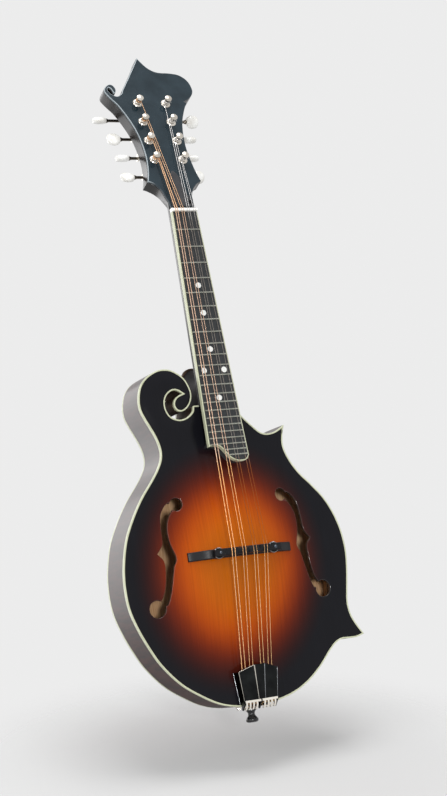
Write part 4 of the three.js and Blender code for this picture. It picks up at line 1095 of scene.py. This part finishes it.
def plate_mesh(outline, holes):
    """Points and triangles that fill an outline round its holes."""
    coords = []
    edges = []
    for loop in [outline] + holes:
        start = len(coords)
        coords += loop
        edges += [(start + step, start + (step + 1) % len(loop)) for step in range(len(loop))]
    low = Vector((min(p.x for p in outline), min(p.y for p in outline)))
    high = Vector((max(p.x for p in outline), max(p.y for p in outline)))
    inner = offset(outline, -grid_step / 2)
    grown = [offset(hole, grid_step / 3) for hole in holes]
    row = 0
    z = low.y
    while z < high.y:
        x = low.x + (row % 2) * grid_step / 2
        while x < high.x:
            point = Vector((x, z))
            if inside(point, inner) and not any(inside(point, hole) for hole in grown):
                coords.append(point)
            x += grid_step
        z += grid_step * grid_row_share
        row += 1
    points, _, triangles = delaunay_2d_cdt(coords, edges, [], 0, mesh_tolerance)[:3]
    kept = []
    for triangle in triangles:
        middle = sum((points[corner] for corner in triangle), Vector((0, 0))) / 3
        if inside(middle, outline) and not any(inside(middle, hole) for hole in holes):
            kept.append(list(triangle))
    return points, kept


def plate(name, outline, holes, side, height, materials, slot, stands_for):
    """An arched plate. Its materials are those of its face, its inside, its walls and its holes' edges."""
    points, triangles = plate_mesh(outline, holes)
    outer = []
    back = []
    for point in points:
        rise = arch_rise(arch_share(point.x, point.y), height)
        if side < 0:
            rise += ridge(point, outline)
        outer.append((point.x, side * (half_depth + rise), point.y))
        back.append((point.x, side * (half_depth + rise - plate_thickness), point.y))
    count = len(points)
    lines = [(a, b) for triangle in triangles for a, b in zip(triangle, triangle[1:] + triangle[:1])]
    known = set(lines)
    walls = [[a, b, count + b, count + a] for a, b in lines if (b, a) not in known]
    form = Form(body_frame).add(outer + back, triangles)
    form.faces += [[count + corner for corner in triangle] for triangle in triangles] + walls
    for triangle in triangles:
        form.marks.append(2 if all(points[corner].y > joint_z for corner in triangle) else 1)
    form.marks += [2] * len(walls)
    thing = form.piece(name, materials, slot, stands_for, angle=50)
    if holes:
        rims = {(round(point.x, 3), round(point.y, 3)) for hole in holes for point in hole}
        on_rim = [(round(point.x, 3), round(point.y, 3)) in rims for point in points]
        weights = thing.data.attributes.new("bevel_weight_edge", "FLOAT", "EDGE")
        for number, line in enumerate(thing.data.edges):
            if all(corner < count and on_rim[corner] for corner in line.vertices):
                weights.data[number].value = 1
        rounding = thing.modifiers.new("hole_edge", "BEVEL")
        rounding.width = hole_edge * MM
        rounding.segments = 3
        rounding.limit_method = "WEIGHT"
        rounding.material = 3


plate("carved_top", offset(body_outline, -binding_width - plate_inset), f_holes, -1, top_arch,
      [top_finish, bare_wood, slot_finish, hole_finish], "top_finish", ["top_plate"])
plate("carved_back", offset(back_outline, -binding_width - plate_inset), [], 1, back_arch,
      [back_finish, bare_wood, slot_finish], "body_finish", ["back_plate"])

for name, outline, near, far in (
        ("top", body_outline, -half_depth, -edge), ("back", back_outline, edge, half_depth)):
    form = Form(body_frame).band(outline, offset(outline, -binding_width), near, far)
    form.mark_where(
        lambda middle: middle.z > joint_z + binding_width and abs(middle.x) < heel_top_half_width)
    form.piece(f"{name}_edge_binding", [ivory, slot_finish], "binding", [f"{name}_binding"],
               bevel=binding_bevel, angle=60)
slot_low, slot_high = body_line(slot_zone_shares)
form = Form(body_frame).band(body_outline, offset(body_outline, -rim_wall), -edge, edge)
form.mark_where(
    lambda middle: slot_low[0] < middle.x < slot_high[0] and slot_low[1] < middle.z < slot_high[1])
form.piece("side_ribs", [side_finish, slot_finish], "body_finish", ["rims"], angle=40)

# Headstock outline and face
head_runs = []
for points, step in (
        (head_treble_shares, scroll_step), (head_treble_side_shares, outline_step),
        (head_bulb_shares[:1], scroll_step), (head_bulb_shares[1:], scroll_step),
        (head_crown_shares, outline_step), (head_valley_shares, scroll_step / 2),
        (head_curl_shares, scroll_step), (head_bass_shares, scroll_step)):
    head_runs.append(([(x * head_half_width, z * head_length) for x, z in points], step))
head_outline = joined(chain(*head_runs))
form = Form(head_frame).prism(head_outline, 0, overlay_thickness)
face = form.piece("headstock_face", [black_gloss, painted_edge_highlight], "head_face", ["headstock_overlay"],
                  bevel=overlay_bevel, angle=40, segments=3)
# The bevel round the face takes the painted edge highlight
face.modifiers["bevel"].material = 1

# Neck: shaft, headstock wood, and the heel down to its button
form = Form(neck_frame)
rings = []
for share in shares(12):
    place = joint - seat_gap + (nut_top + nut_thickness * 2 - joint) * share
    depth = neck_depth_at_body + (neck_depth_at_nut - neck_depth_at_body) * share
    ring = arch(neck_half_width(max(scale_length - place, 0)), neck_roundness, neck_front, depth, 20)
    rings.append([(x, y, place) for x, y in ring])
form.loft(rings)
rings = []
for depth, narrowing in (
        (overlay_thickness, 0), ((overlay_thickness + head_thickness) / 2, ear_middle_narrowing),
        (head_thickness, ear_back_narrowing)):
    ring = []
    for point in head_outline:
        near_nut = clamped(1 - point.y / (ear_share * head_length))
        ring.append((point.x * (1 - narrowing * near_nut), depth, point.y))
    rings.append(ring)
form.loft(rings, 0, neck_frame.inverted() @ head_frame)
heel_front = -half_depth - string_plane / 2
heel_back = edge - seat_gap
to_neck = neck_frame.inverted() @ body_frame
rings = []
for share, top_share in heel_top_shares:
    half_width = heel_top_half_width + (heel_half_width - heel_top_half_width) * share
    depth = heel_front + (heel_back - heel_front) * share
    ring = arch(half_width, heel_roundness, joint_z, top_share * button_reach, 24)
    points = [to_neck @ Vector((x, depth, z)) for x, z in ring]
    rings.append([(p.x, max(p.y, neck_front), p.z) for p in points])
form.loft(rings, 1)
form.piece("neck_wood", [neck_finish, heel_finish], "body_finish", ["neck"], bevel=wood_bevel, angle=45)

# Fingerboard with its binding and riser, frets, dots and nut
board_end_half = neck_half_width(scale_length - board_tail)
board_end = smooth([
    (x * board_end_half, board_tail + z * board_end_half * board_end_reach) for x, z in board_end_shares
], scroll_step)


def board_outline(inset):
    half = neck_half_width(0) - inset
    top = [Vector((half, scale_length)), Vector((-half, scale_length))]
    ends = [Vector((board_end_half, scale_length)), Vector((-board_end_half, scale_length))]
    moved = [point for point in offset(joined([board_end, ends]), -inset) if point.y < joint]
    moved.sort(key=lambda point: math.atan2(point.y - joint, point.x))
    return moved + top


form = Form(neck_frame).prism(board_outline(board_binding + seat_gap / 4), fret_height, board_back)
form.piece("fingerboard_wood", [board_wood], "board", ["fingerboard"], bevel=fine_bevel)
form = Form(neck_frame).band(
    board_outline(0), board_outline(board_binding), fret_height * board_binding_front_share, board_back)
form.piece("board_edge_binding", [ivory], "binding", ["fingerboard_binding"], bevel=soft_bevel, angle=50)
riser = offset(board_outline(0), -binding_width)
riser_back = neck_front + string_plane * riser_share
riser_end = [Vector((riser[-1].x, joint)), Vector((-riser[-1].x, joint))]
form = Form(neck_frame).prism(
    [point for point in riser if point.y < joint] + riser_end, board_back, riser_back)
# The riser takes the lighter grey cover lacquer: painted light on a side that lies in shade beside the board
form.piece("board_riser", [cover_finish], "body_finish", bevel=binding_bevel)

form = Form(neck_frame)
for fret in range(1, fret_count + 1):
    place = scale_length * 2 ** (-fret / 12)
    half = board_half_width + board_taper * (scale_length - place) + seat_gap
    crown = [
        (fret_height - fret_height * math.sin(turn), place - fret_width / 2 * math.cos(turn))
        for turn in turns(8)
    ]
    form.across(crown, -half * cut_fret_shares.get(fret, 1), half)
form.piece("fret_wires", [fret_wire], "nickel", bevel=fine_bevel, angle=60)

form = Form(neck_frame)
for fret, spread in dot_spreads.items():
    place = scale_length * (2 ** (-fret / 12) + 2 ** (-(fret - 1) / 12)) / 2
    for x in ((-spread / 2, spread / 2) if spread else (0,)):
        form.prism(circle((x, place), dot_radius, 28), fret_height - dot_sink, fret_height + dot_depth)
form.piece("board_dots", [shell], "button")

nut_foot = scale_length + touch_gap
nut_line = [
    (board_back, nut_foot), (-nut_height * 0.6, nut_foot), (-nut_height, scale_length + nut_thickness * 0.2),
    (-nut_height * 0.9, scale_length + nut_thickness * 0.55),
    (head_setback - nut_height, nut_top - touch_gap), (board_back, nut_top - touch_gap),
]
form = Form(neck_frame).across(nut_line, -neck_half_width(0), neck_half_width(0))
form.piece("bone_nut", [bone], "bone", ["nut"], bevel=nut_bevel, segments=3)

# Truss rod cover
cover_line = smooth([
    (x * rod_cover_half_width, z * rod_cover_length) for x, z in mirrored(cover_shares, (0, 1))
], scroll_step)
form = Form(head_frame).prism(cover_line, -rod_cover_thickness - touch_gap, -touch_gap)
form.piece("bell_cover", [cover_finish], "head_face", ["truss_rod_cover"], bevel=wood_bevel, segments=3)

# Tuners
posts = []
for side, sign in sides.items():
    for row in range(4):
        posts.append({
            "side": side, "sign": sign, "row": row, "x": sign * post_row,
            "z": first_post + row * post_spacing,
        })
plate_front = head_thickness + touch_gap
plate_back = plate_front + tuner_plate_thickness
key_depth = head_thickness + seat_gap + tuner_plate_thickness + key_stand_off
gear_front = key_depth - gear_thickness / 2
worm_drop = gear_radius + seat_gap + worm_radius


def bearing(height):
    """A bearing's outline, in depth and height: a rounded end over a foot on the plate."""
    line = [p for p in circle((key_depth, height), ear_half_width, 24) if p.x >= key_depth]
    line += [Vector((plate_front, height - ear_half_width)), Vector((plate_front, height + ear_half_width))]
    line.sort(key=lambda p: math.atan2(p.y - height, p.x - plate_front - ear_half_width))
    return line


for side, sign in sides.items():
    row = [post for post in posts if post["side"] == side]
    low = row[0]["z"] - worm_drop - tuner_plate_margin
    high = row[-1]["z"] + tuner_plate_margin
    middle = (low + high) / 2
    form = Form(head_frame @ Matrix.Translation((sign * post_row, 0, middle)))
    form.prism(
        rounded_box(plate_half_width, (high - low) / 2, tuner_plate_corner), plate_front, plate_back)
    for post in row:
        drop = post["z"] - middle
        for shift in (-ear_spread, ear_spread):
            form.across(bearing(drop - worm_drop), shift - ear_thickness / 2, shift + ear_thickness / 2)
        for x in (-plate_half_width * 0.66, plate_half_width * 0.66):
            form.turned(plate_screw, 16, 0, about("y", (x, plate_back, drop + plate_half_width * 0.8)))
    form.piece(f"{side}_tuner_plate", [warm_nickel], "tuner_metal", [f"tuner_plate_{side}"],
               bevel=small_bevel)

bushing_bore = post_radius + bushing_bore_gap
bushing = [
    (bushing_bore, 0), (bushing_radius, 0), (bushing_radius, bushing_height * 0.35),
    (bushing_radius * 0.86, bushing_height * 0.75), (post_radius + bushing_lip, bushing_height),
    (bushing_bore, bushing_height), (bushing_bore, 0),
]
facing_front = Matrix.Rotation(math.pi, 4, "X")
form = Form(head_frame)
for post in posts:
    form.turned(bushing, 32, 0, about("y", (post["x"], 0, post["z"])) @ facing_front)
form.piece("post_bushings", [warm_nickel], "tuner_metal", angle=30)


def rounded_corner(part):
    """A share of a round section, drawn out towards that of a rectangle with round corners."""
    return math.copysign(abs(part) ** button_corner_power, part)


def add_button(form, reach, tilt):
    """A key's button: a rounded slab that narrows towards the shaft, with a small cap on its end."""
    rings = []
    for angle in turns(24)[1:-1]:
        out = -math.cos(angle)
        side_swell = math.sin(angle) ** button_side_power
        if out < 0:
            side_swell *= 1 - button_taper * out ** 2
        face_swell = math.sin(angle) ** button_face_power
        ring = []
        for around in turns(32, FULL_TURN)[:-1]:
            wide = rounded_corner(math.cos(around)) * side_swell * button_width / 2
            thick = rounded_corner(math.sin(around)) * face_swell * button_thickness / 2
            y = thick * math.cos(tilt) - wide * math.sin(tilt)
            z = thick * math.sin(tilt) + wide * math.cos(tilt)
            ring.append((reach + out * button_length / 2, y, z))
        rings.append(ring)
    form.loft(rings, 1)
    form.turned(button_cap, 14, 1, about("x", (reach + button_length / 2 - button_cap_sink, 0, 0)))


post_profile = [
    (0, -post_height), (post_cap * 0.42, -post_height * 0.99), (post_cap * 0.74, -post_height * 0.965),
    (post_cap * 0.94, -post_height * 0.92), (post_cap, -post_height * 0.87),
    (post_cap * 0.95, -post_height * 0.81), (post_waist, -post_height * waist_end_share),
    (post_waist, -post_height * waist_start_share), (post_radius, -post_height * 0.2),
    (post_radius, gear_front), (0, gear_front),
]
teeth = []
for step in range(gear_teeth * 4):
    radius = gear_radius * (1, 1, tooth_root_share, tooth_root_share)[step % 4]
    turn = FULL_TURN * (step + 0.5) / (gear_teeth * 4)
    teeth.append(Vector((radius * math.cos(turn), radius * math.sin(turn))))
shaft_foot = ear_spread + ear_thickness / 2 + seat_gap
worm_half = worm_length / 2
worm_turns = int(worm_length / worm_pitch)
worm_profile = [
    (0, -shaft_foot), (key_shaft_radius * 0.8, -shaft_foot), (key_shaft_radius, -shaft_foot + key_tip),
    (key_shaft_radius, -worm_half),
]
for thread in range(worm_turns):
    start = -worm_half + thread * worm_length / worm_turns
    worm_profile += [
        (worm_radius * worm_root_share, start), (worm_radius, start + thread_start),
        (worm_radius, start + thread_end),
    ]
for post in posts:
    side = post["side"]
    number = post["row"] + 1
    form = Form(head_frame @ Matrix.Translation((post["x"], 0, post["z"])))
    form.turned(post_profile, 28, 0, about("y", (0, 0, 0)))
    form.prism(teeth, gear_front - seat_gap, gear_front + gear_thickness)
    form.turned(wheel_screw, 18, 0, about("y", (0, gear_front + gear_thickness, 0)))
    form.piece(f"{side}_post_{number}", [warm_nickel], "tuner_metal", [f"tuner_post_{side}_{number}"],
               f"post_{side}_{number}", angle=30)

    outwards = Matrix.Identity(4) if post["sign"] > 0 else Matrix.Rotation(math.pi, 4, "Z")
    place = Matrix.Translation((post["x"], key_depth, post["z"] - worm_drop))
    form = Form(head_frame @ place @ outwards)
    reach = key_reaches[post["row"]] - post_row
    collar = reach - button_length / 2
    profile = worm_profile + [
        (key_shaft_radius, worm_half), (key_shaft_radius, collar - key_collar_radius),
        (key_collar_radius * 0.85, collar - collar_start), (key_collar_radius, collar),
        (key_collar_radius, collar + collar_edge), (0, collar + collar_end),
    ]
    form.turned(profile, 20, 0, about("x", (0, 0, 0)))
    add_button(form, reach, math.radians(key_turns[side][post["row"]]))
    form.piece(f"{side}_key_{number}", [shaft_nickel_painted_dark, pearl], "button", [f"tuner_key_{side}_{number}"],
               f"key_{side}_{number}", angle=30)

# Bridge foot
bridge_z = saddle_z - bridge_setback
base_front = -half_depth - top_arch - bridge_centre_thickness
end_front = -half_depth - arch_rise(arch_share(bridge_length / 2, bridge_z), top_arch) - bridge_end_thickness
half = bridge_width / 2
rings = []
for share in shares(60):
    x = bridge_length * (share - 0.5)
    slope = clamped((0.5 - abs(x) / bridge_length) / bridge_slope_share)
    front = end_front + (base_front - end_front) * math.sin(slope * math.pi / 2) ** bridge_slope_power
    foot = -half_depth - arch_rise(arch_share(x, bridge_z), top_arch)
    rings.append([
        (x, foot, bridge_z - half), (x, foot, bridge_z + half), (x, front + bridge_chamfer, bridge_z + half),
        (x, front, bridge_z + half - bridge_chamfer), (x, front, bridge_z - half + bridge_chamfer),
        (x, front + bridge_chamfer, bridge_z - half),
    ])
form = Form(body_frame).loft(rings)
form.piece("bridge_foot", [bridge_wood], "ebony", ["bridge_base"], bevel=small_bevel, angle=40)

# Thumb wheels and their threaded studs
wheel_back = base_front - wheel_travel - seat_gap * 2
wheel_front = wheel_back - wheel_thickness
saddle_back = wheel_front - seat_gap
ear_front = saddle_back - saddle_ear
rim = []
for step, turn in enumerate(turns(knurl_count * 2, FULL_TURN)[:-1]):
    radius = wheel_radius if step % 2 else wheel_radius - knurl_depth
    rim.append((radius * math.cos(turn), radius * math.sin(turn)))
face = [(x * wheel_face_share, z * wheel_face_share) for x, z in rim]
hole = circle((0, 0), stud_radius + touch_gap, knurl_count * 2)
face_rows = [(face, wheel_back), (hole, wheel_back), (hole, wheel_front), (face, wheel_front)]
rim_rows = [
    (face, wheel_front), (rim, wheel_front + wheel_edge), (rim, wheel_back - wheel_edge), (face, wheel_back),
]
stud_top = ear_front - wheel_travel
stud_foot = base_front + stud_seat
thread_top = stud_top + stud_thread_start
stud_profile = [(0, stud_top), (stud_radius * 0.6, stud_top), (stud_radius, stud_top + stud_tip)]
for thread in range(stud_threads):
    start = thread_top + (stud_foot - thread_top) * thread / stud_threads
    stud_profile += [(stud_radius * stud_root_share, start), (stud_radius, start + stud_thread_rise)]
stud_profile.append((0, stud_foot))
for side, sign in sides.items():
    stud_frame = body_frame @ Matrix.Translation((sign * stud_spread, 0, bridge_z))
    form = Form(stud_frame)
    for mark, rows in enumerate((face_rows, rim_rows)):
        form.loft([[(x, depth, z) for x, z in line] for line, depth in rows], mark, ends="open")
    form.piece(f"{side}_wheel", [black_nickel, wheel_nickel], "nickel", [f"thumbwheel_{side}"],
               f"wheel_{side}", angle=30)
    form = Form(stud_frame).turned(stud_profile, 20, 0, about("y", (0, 0, 0)))
    form.piece(f"{side}_stud", [stud_nickel_painted_dark], "nickel", [f"bridge_stud_{side}"], angle=30)

# Saddle, with its crest stepped from course to course
crest_front = neck_y - saddle_height
saddle_fore = bridge_z + saddle_width / 2
saddle_aft = saddle_fore - saddle_width
crest_highs = [saddle_fore - share * (saddle_width - crest_width) for share in crest_shares]
crest_changes = (-course_spread_at_saddle, 0, course_spread_at_saddle)
spots = {round(saddle_half_length * (step / 24 - 1), 3) for step in range(49)}
for place in (crest_half_length - crest_slope, crest_half_length):
    spots |= {-place, place}
for place in crest_changes:
    spots |= {place - crest_step, place + crest_step}
rings = []
for x in sorted(spots):
    rise = clamped((crest_half_length - abs(x)) / crest_slope)
    crest = ear_front + (crest_front - ear_front) * rise
    high = crest_highs[sum(x >= place for place in crest_changes)]
    fore = high * rise + saddle_fore * (1 - rise)
    aft = (high - crest_width) * rise + saddle_aft * (1 - rise)
    rings.append([
        (x, saddle_back, saddle_aft), (x, saddle_back, saddle_fore), (x, ear_front, saddle_fore),
        (x, crest, fore), (x, crest, aft), (x, ear_front, saddle_aft),
    ])
form = Form(body_frame).loft(rings)
form.piece("bridge_top", [bridge_wood], "ebony", ["bridge_saddle"], "saddle", bevel=soft_bevel, angle=40)

# Where each string runs
strings = []
for index, gauge in enumerate(string_gauges):
    course = courses[index // 2]
    half = index % 2 - 0.5
    middle = math.copysign(middle_gap_at_tail / 2, course)
    strings.append({
        "radius": gauge / 2, "course": index // 2,
        "nut": course * course_spread_at_nut + half * pair_gap_at_nut,
        "saddle": course * course_spread_at_saddle + half * pair_gap_at_saddle,
        "tail": course * course_spread_at_tail + middle + half * pair_gap_at_tail,
        "post": posts[index] if index < 4 else posts[len(posts) - 1 - (index - 4)],
    })

# Tailpiece: a hood over a comb that holds the strings' loops, in four finishes. On the ribs and the lip they
# also paint a highlight on the bass side and shade on the treble side.
plain, dark, bright, grey = range(4)
tail_rear = body_bottom + tail_inset
tail_mouth = tail_rear + tail_length
comb_end = tail_rear - comb_bar
bar_front = tail_floor - tail_rear_height
rear_half = tail_rear_half_width - tail_wall / 2


def hood_rows(start):
    """Rows of four points across the hood, from its start up to its mouth."""
    rows = []
    for share in shares(tail_steps):
        half_width, rib_place, height, rise = (rear + (front - rear) * share for rear, front in (
            (tail_rear_half_width, tail_half_width), (tail_rear_ridge, tail_ridge),
            (tail_rear_height, tail_mouth_height), (tail_rear_rise, tail_ridge_rise),
        ))
        slope = rise / (half_width - rib_place)
        row = []
        for x, lift in ((-half_width, 0), (-rib_place, tail_peak), (rib_place, tail_peak), (half_width, 0)):
            y = tail_floor - height - min((half_width - abs(x)) * slope, rise)
            row.append((x, y, start + (tail_mouth + lift - start) * share))
        rows.append(row)
    return rows


# The hood's roof, its side walls, four ribs, the rounded feet of the walls, and the lip at its mouth
rows = hood_rows(comb_end)
roof_rows = hood_rows(tail_rear + seat_gap)
form = Form(body_frame)
for number in range(3):
    rings = []
    for row in roof_rows:
        a, b = row[number], row[number + 1]
        rings.append([a, b, (b[0], b[1] + tail_wall, b[2]), (a[0], a[1] + tail_wall, a[2])])
    form.loft(rings, dark)
for number, sign in ((0, -1), (3, 1)):
    rings = []
    for row in rows:
        x, y, z = row[number]
        foot = x + sign * tail_flare
        rings.append([
            (x, y, z), (x - sign * tail_wall, y, z), (foot - sign * tail_wall, tail_floor, z),
            (foot, tail_floor, z),
        ])
    form.loft(rings, dark)
for number, (rib_rise, half_width) in enumerate(zip(rib_rises, rib_half_widths)):
    rings = []
    for row, share in zip(roof_rows, shares(tail_steps)):
        x, y, z = row[number]
        foot = half_width * (rib_rear_share + (1 - rib_rear_share) * share)
        crest = foot * rib_crest_share
        rings.append([
            (x - foot, y + rib_sink, z), (x - crest, y - rib_rise, z), (x + crest, y - rib_rise, z),
            (x + foot, y + rib_sink, z),
        ])
    # The two ribs on the bass side take the brighter nickel and the two on the treble side the darker grey
    # one: painted highlight and painted shade
    form.loft(rings, plain if number < 2 else grey)
for number, sign in ((0, -1), (3, 1)):
    form.tube([
        (row[number][0] + sign * tail_flare, tail_floor - flare_lift, row[number][2]) for row in rows
    ], flare_radius, 8, grey)
lip = [(x, y + lip_radius, z) for x, y, z in rows[-1]]
# The lip's bass-side part takes the bright nickel and the rest the dark one: a painted highlight on the bass
# side
form.tube(lip[:2], lip_radius, 8, plain)
form.tube(lip[1:], lip_radius, 8, dark)

# The comb's two bars, the bar at its foot, three webs, and a prong for each string
comb_line = [(bar_front + depth, tail_rear + share * comb_bar) for depth, share in comb_shares]
for left, right in ((-rear_half, -comb_half_gap), (comb_half_gap, rear_half)):
    form.across(comb_line, left, right, bright)
foot_front = tail_floor - foot_bar_height
foot_top = tail_rear + foot_bar_reach
form.across([
    (foot_front, foot_top), (foot_front, comb_end), (tail_floor, comb_end), (tail_floor, foot_top),
], -rear_half, rear_half, dark)
web_line = [
    (bar_front - web_rear_drop, tail_rear), (bar_front - web_front_drop, comb_end),
    (tail_floor - web_tip, comb_end - prong_reach), (tail_floor, comb_end - prong_reach + web_tip),
    (tail_floor, tail_rear),
]
for place in (-rear_half, 0, rear_half):
    form.across(web_line, place - web_half_width, place + web_half_width, dark)
for string in strings:
    rings = []
    for share in shares(12):
        turn = share * prong_turn
        drop = (tail_floor - bar_front - prong_foot) * (1 - math.cos(turn)) / prong_drop_share
        y = bar_front + prong_lift + drop
        z = comb_end + prong_start - (prong_reach + prong_rise) * math.sin(turn)
        half = prong_width / 2 * (1 - prong_narrowing * share)
        thick = prong_thickness - prong_thinning * share
        ring = []
        for around in turns(12, FULL_TURN)[:-1]:
            push = math.sin(around) * thick
            ring.append((
                string["tail"] + half * math.cos(around), y - math.cos(turn) * push,
                z + math.sin(turn) * push,
            ))
        rings.append(ring)
    form.loft(rings, bright)

# The bracket that the end pin holds on the tail, and the plate that joins it to the hood
bracket_top = body_bottom - touch_gap
bracket_foot = bracket_top - bracket_thickness
bracket_half_depth = (bracket_reach + bracket_thickness) / 2
bracket_middle = tail_floor - bracket_thickness + bracket_half_depth
line = rounded_box(bracket_half_width, bracket_half_depth, bracket_corner)
form.loft([[(p.x, bracket_middle + p.y, z) for p in line] for z in (bracket_foot, bracket_top)])
form.prism([
    (-bracket_half_width, bracket_foot), (bracket_half_width, bracket_foot),
    (bracket_half_width, tail_rear), (-bracket_half_width, tail_rear),
], tail_floor - bracket_thickness, tail_floor, dark)
form.piece("cast_tailpiece", [nickel, black_nickel, bright_nickel, wheel_nickel], "tail_metal",
           ["tailpiece"], bevel=fine_bevel, angle=30)

# End pin
peg_end = body_bottom + pin_peg_reach
pin_profile = [
    (0, 0), (pin_head * 0.72, 0), (pin_head * 0.93, pin_length * 0.05), (pin_head, pin_length * 0.13),
    (pin_head * 0.98, pin_length * 0.22), (pin_head * 0.8, pin_length * 0.33),
    (pin_head * 0.6, pin_length * 0.42), (pin_waist, pin_length * 0.52), (pin_waist, pin_length * 0.62),
    (pin_collar * 0.8, pin_length * 0.7), (pin_collar, pin_length * 0.78),
    (pin_collar, pin_length * 0.99), (pin_peg, pin_length), (pin_peg * 0.9, peg_end), (0, peg_end),
]
Form().turned(pin_profile, 48).piece("turned_end_pin", [black_plastic], "pin", ["end_pin"], angle=35)


# Strings: from the prongs over the saddle and the nut, round the waists of their posts, and out at the end
def winding(string):
    """The last part of a string: its turns round the waist of its post, and its end."""
    post = string["post"]
    reach = post_waist + touch_gap + string["radius"]
    start = (-post["sign"] * (string["nut"] - post["x"]), -post["z"])
    tangent = math.atan2(start[1], start[0]) + math.acos(reach / math.hypot(*start))
    pitch = string["radius"] * 2 + winding_gap
    foot = -post_height * waist_start_share - string["radius"] - seat_gap
    points = []
    for step in range(int(winding_turns * winding_steps) + 1):
        angle = tangent + step / winding_steps * FULL_TURN
        points.append(Vector((
            post["x"] - post["sign"] * reach * math.cos(angle), foot - pitch * step / winding_steps,
            post["z"] + reach * math.sin(angle))))
    ahead = (points[-1] - points[-2]).normalized()
    for length, rise in string_ends:
        points.append(points[-1] + ahead * length + Vector((0, -rise, 0)))
    return points


for index, string in enumerate(strings):
    radius = string["radius"]
    crest_high = crest_highs[string["course"]]
    over_crest = crest_front - crest_gap - radius
    over_nut = -nut_height - radius * 0.4
    rear = tail_floor - bracket_thickness / 2 - radius - string_rear_gap
    path = [body_frame @ Vector(point) for point in (
        (string["tail"], bar_front + loop_depth, comb_end - loop_drop),
        (string["tail"], rear, tail_rear + seat_gap * 2),
        (string["saddle"], over_crest, crest_high - crest_width),
        (string["saddle"], over_crest, crest_high),
    )]
    path += [neck_frame @ Vector(point) for point in (
        (string["nut"], over_nut, scale_length + over_nut_gap),
        (string["nut"], over_nut + touch_gap, scale_length + nut_thickness * 0.5),
    )]
    path += [head_frame @ point for point in winding(string)]
    form = Form().tube(path, radius, 10)
    loop = [
        (string["tail"] + p.x, bar_front + loop_depth, comb_end - loop_centre_drop + p.y)
        for p in circle((0, 0), loop_radius, 20)
    ]
    wire = max(radius * loop_wire_share, thinnest_loop_wire)
    form.tube([body_frame @ Vector(point) for point in loop + loop[:1]], wire, 8)
    name = f"{string_names[index // 2]}_{index % 2 + 1}"
    wound = index < 4
    form.piece(f"wire_{name}", [bronze if wound else steel], "wound_string" if wound else "plain_string",
               [f"string_{name}"], angle=60)

# CAD solids that keep their shapes
kept_solids = {
    bare_wood: [
        "head_block", "tail_block", "upper_point_block", "lower_point_block", "tone_bar_bass",
        "tone_bar_treble", "top_lining_bass", "top_lining_treble", "back_lining_bass", "back_lining_treble",
    ],
    steel: ["truss_rod"],
    black_nickel: ["cover_screw_1", "cover_screw_2"],
    nickel: ["tail_screw_bass", "tail_screw_treble"],
}
for material, names in kept_solids.items():
    for name in names:
        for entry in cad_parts[name].material_slots:
            entry.material = material

# A pale floor under the object, which fades out round it and can't be seen from below
corners = [(x * floor_half, y * floor_half, 0) for x, y in ((-1, -1), (1, -1), (1, 1), (-1, 1))]
floor_mesh = bpy.data.meshes.new("floor")
floor_mesh.from_pydata(corners, [], [range(4)])
floor = added("floor", floor_mesh)
floor.rotation_euler = (floor_lean, 0, 0)
floor.location = (0, floor_drop * math.sin(floor_lean), -floor_drop * math.cos(floor_lean))
floor_paper = finish("floor_paper", floor_grey, 0.9, specular=0.1)
fade = node(
    floor_paper, "ShaderNodeMapRange", {"interpolation_type": "SMOOTHSTEP"},
    {"Value": distance_from(floor_paper, object_place(floor_paper))}, From_Min=fade_start, From_Max=fade_end)
facing = node(floor_paper, "ShaderNodeNewGeometry")
open_part = maths(floor_paper, "MAXIMUM", fade.outputs["Result"], facing.outputs["Backfacing"])
clear = node(floor_paper, "ShaderNodeBsdfTransparent").outputs["BSDF"]
paper_part = shader_of(floor_paper).outputs["BSDF"]
blend = node(floor_paper, "ShaderNodeMixShader", links={0: open_part, 1: paper_part, 2: clear})
tree = floor_paper.node_tree
tree.links.new(blend.outputs["Shader"], tree.nodes["Material Output"].inputs["Surface"])
floor_mesh.materials.append(floor_paper)

# A plain world, which shows as pale paper to the camera, in metal and through glass
world = bpy.data.worlds.new("studio")
bpy.context.scene.world = world
world.use_nodes = True
tree = world.node_tree
background = tree.nodes["Background"]
background.inputs["Color"].default_value = tone(1)
background.inputs["Strength"].default_value = world_light
seen = node(world, "ShaderNodeBackground", Color=tone(paper))
rays = node(world, "ShaderNodeLightPath")
shown = rays.outputs["Is Camera Ray"]
for kind in ("Is Glossy Ray", "Is Transmission Ray"):
    shown = maths(world, "MAXIMUM", shown, rays.outputs[kind])
choice = node(world, "ShaderNodeMixShader", links={0: shown, 1: background.outputs[0], 2: seen.outputs[0]})
tree.links.new(choice.outputs[0], tree.nodes["World Output"].inputs["Surface"])


def lamp(name, place, aim, size, power):
    """A large soft lamp that faces a point, in metres and watts."""
    data = bpy.data.lights.new(name, "AREA")
    data.shape = "RECTANGLE"
    data.size, data.size_y = size
    data.energy = power
    thing = added(name, data)
    thing.location = place
    thing.rotation_euler = (Vector(aim) - Vector(place)).to_track_quat("-Z", "Y").to_euler()


lamp("key_box", place=(-0.7, -2.4, 0.05), aim=(0, 0, 0.3), size=(0.3, 0.3), power=30)
lamp("left_box", place=(-2.4, -1.3, 1.1), aim=(0, 0, 0.35), size=(1.4, 1.8), power=19)
lamp("top_box", place=(0, -0.7, 2.1), aim=(0, 0, 0.2), size=(1.2, 1.2), power=20)
lamp("back_box", place=(-1.3, 2.6, 0.8), aim=(0, 0, 0.35), size=(2.4, 3.0), power=40)

bpy.context.scene.view_settings.view_transform = "Standard"
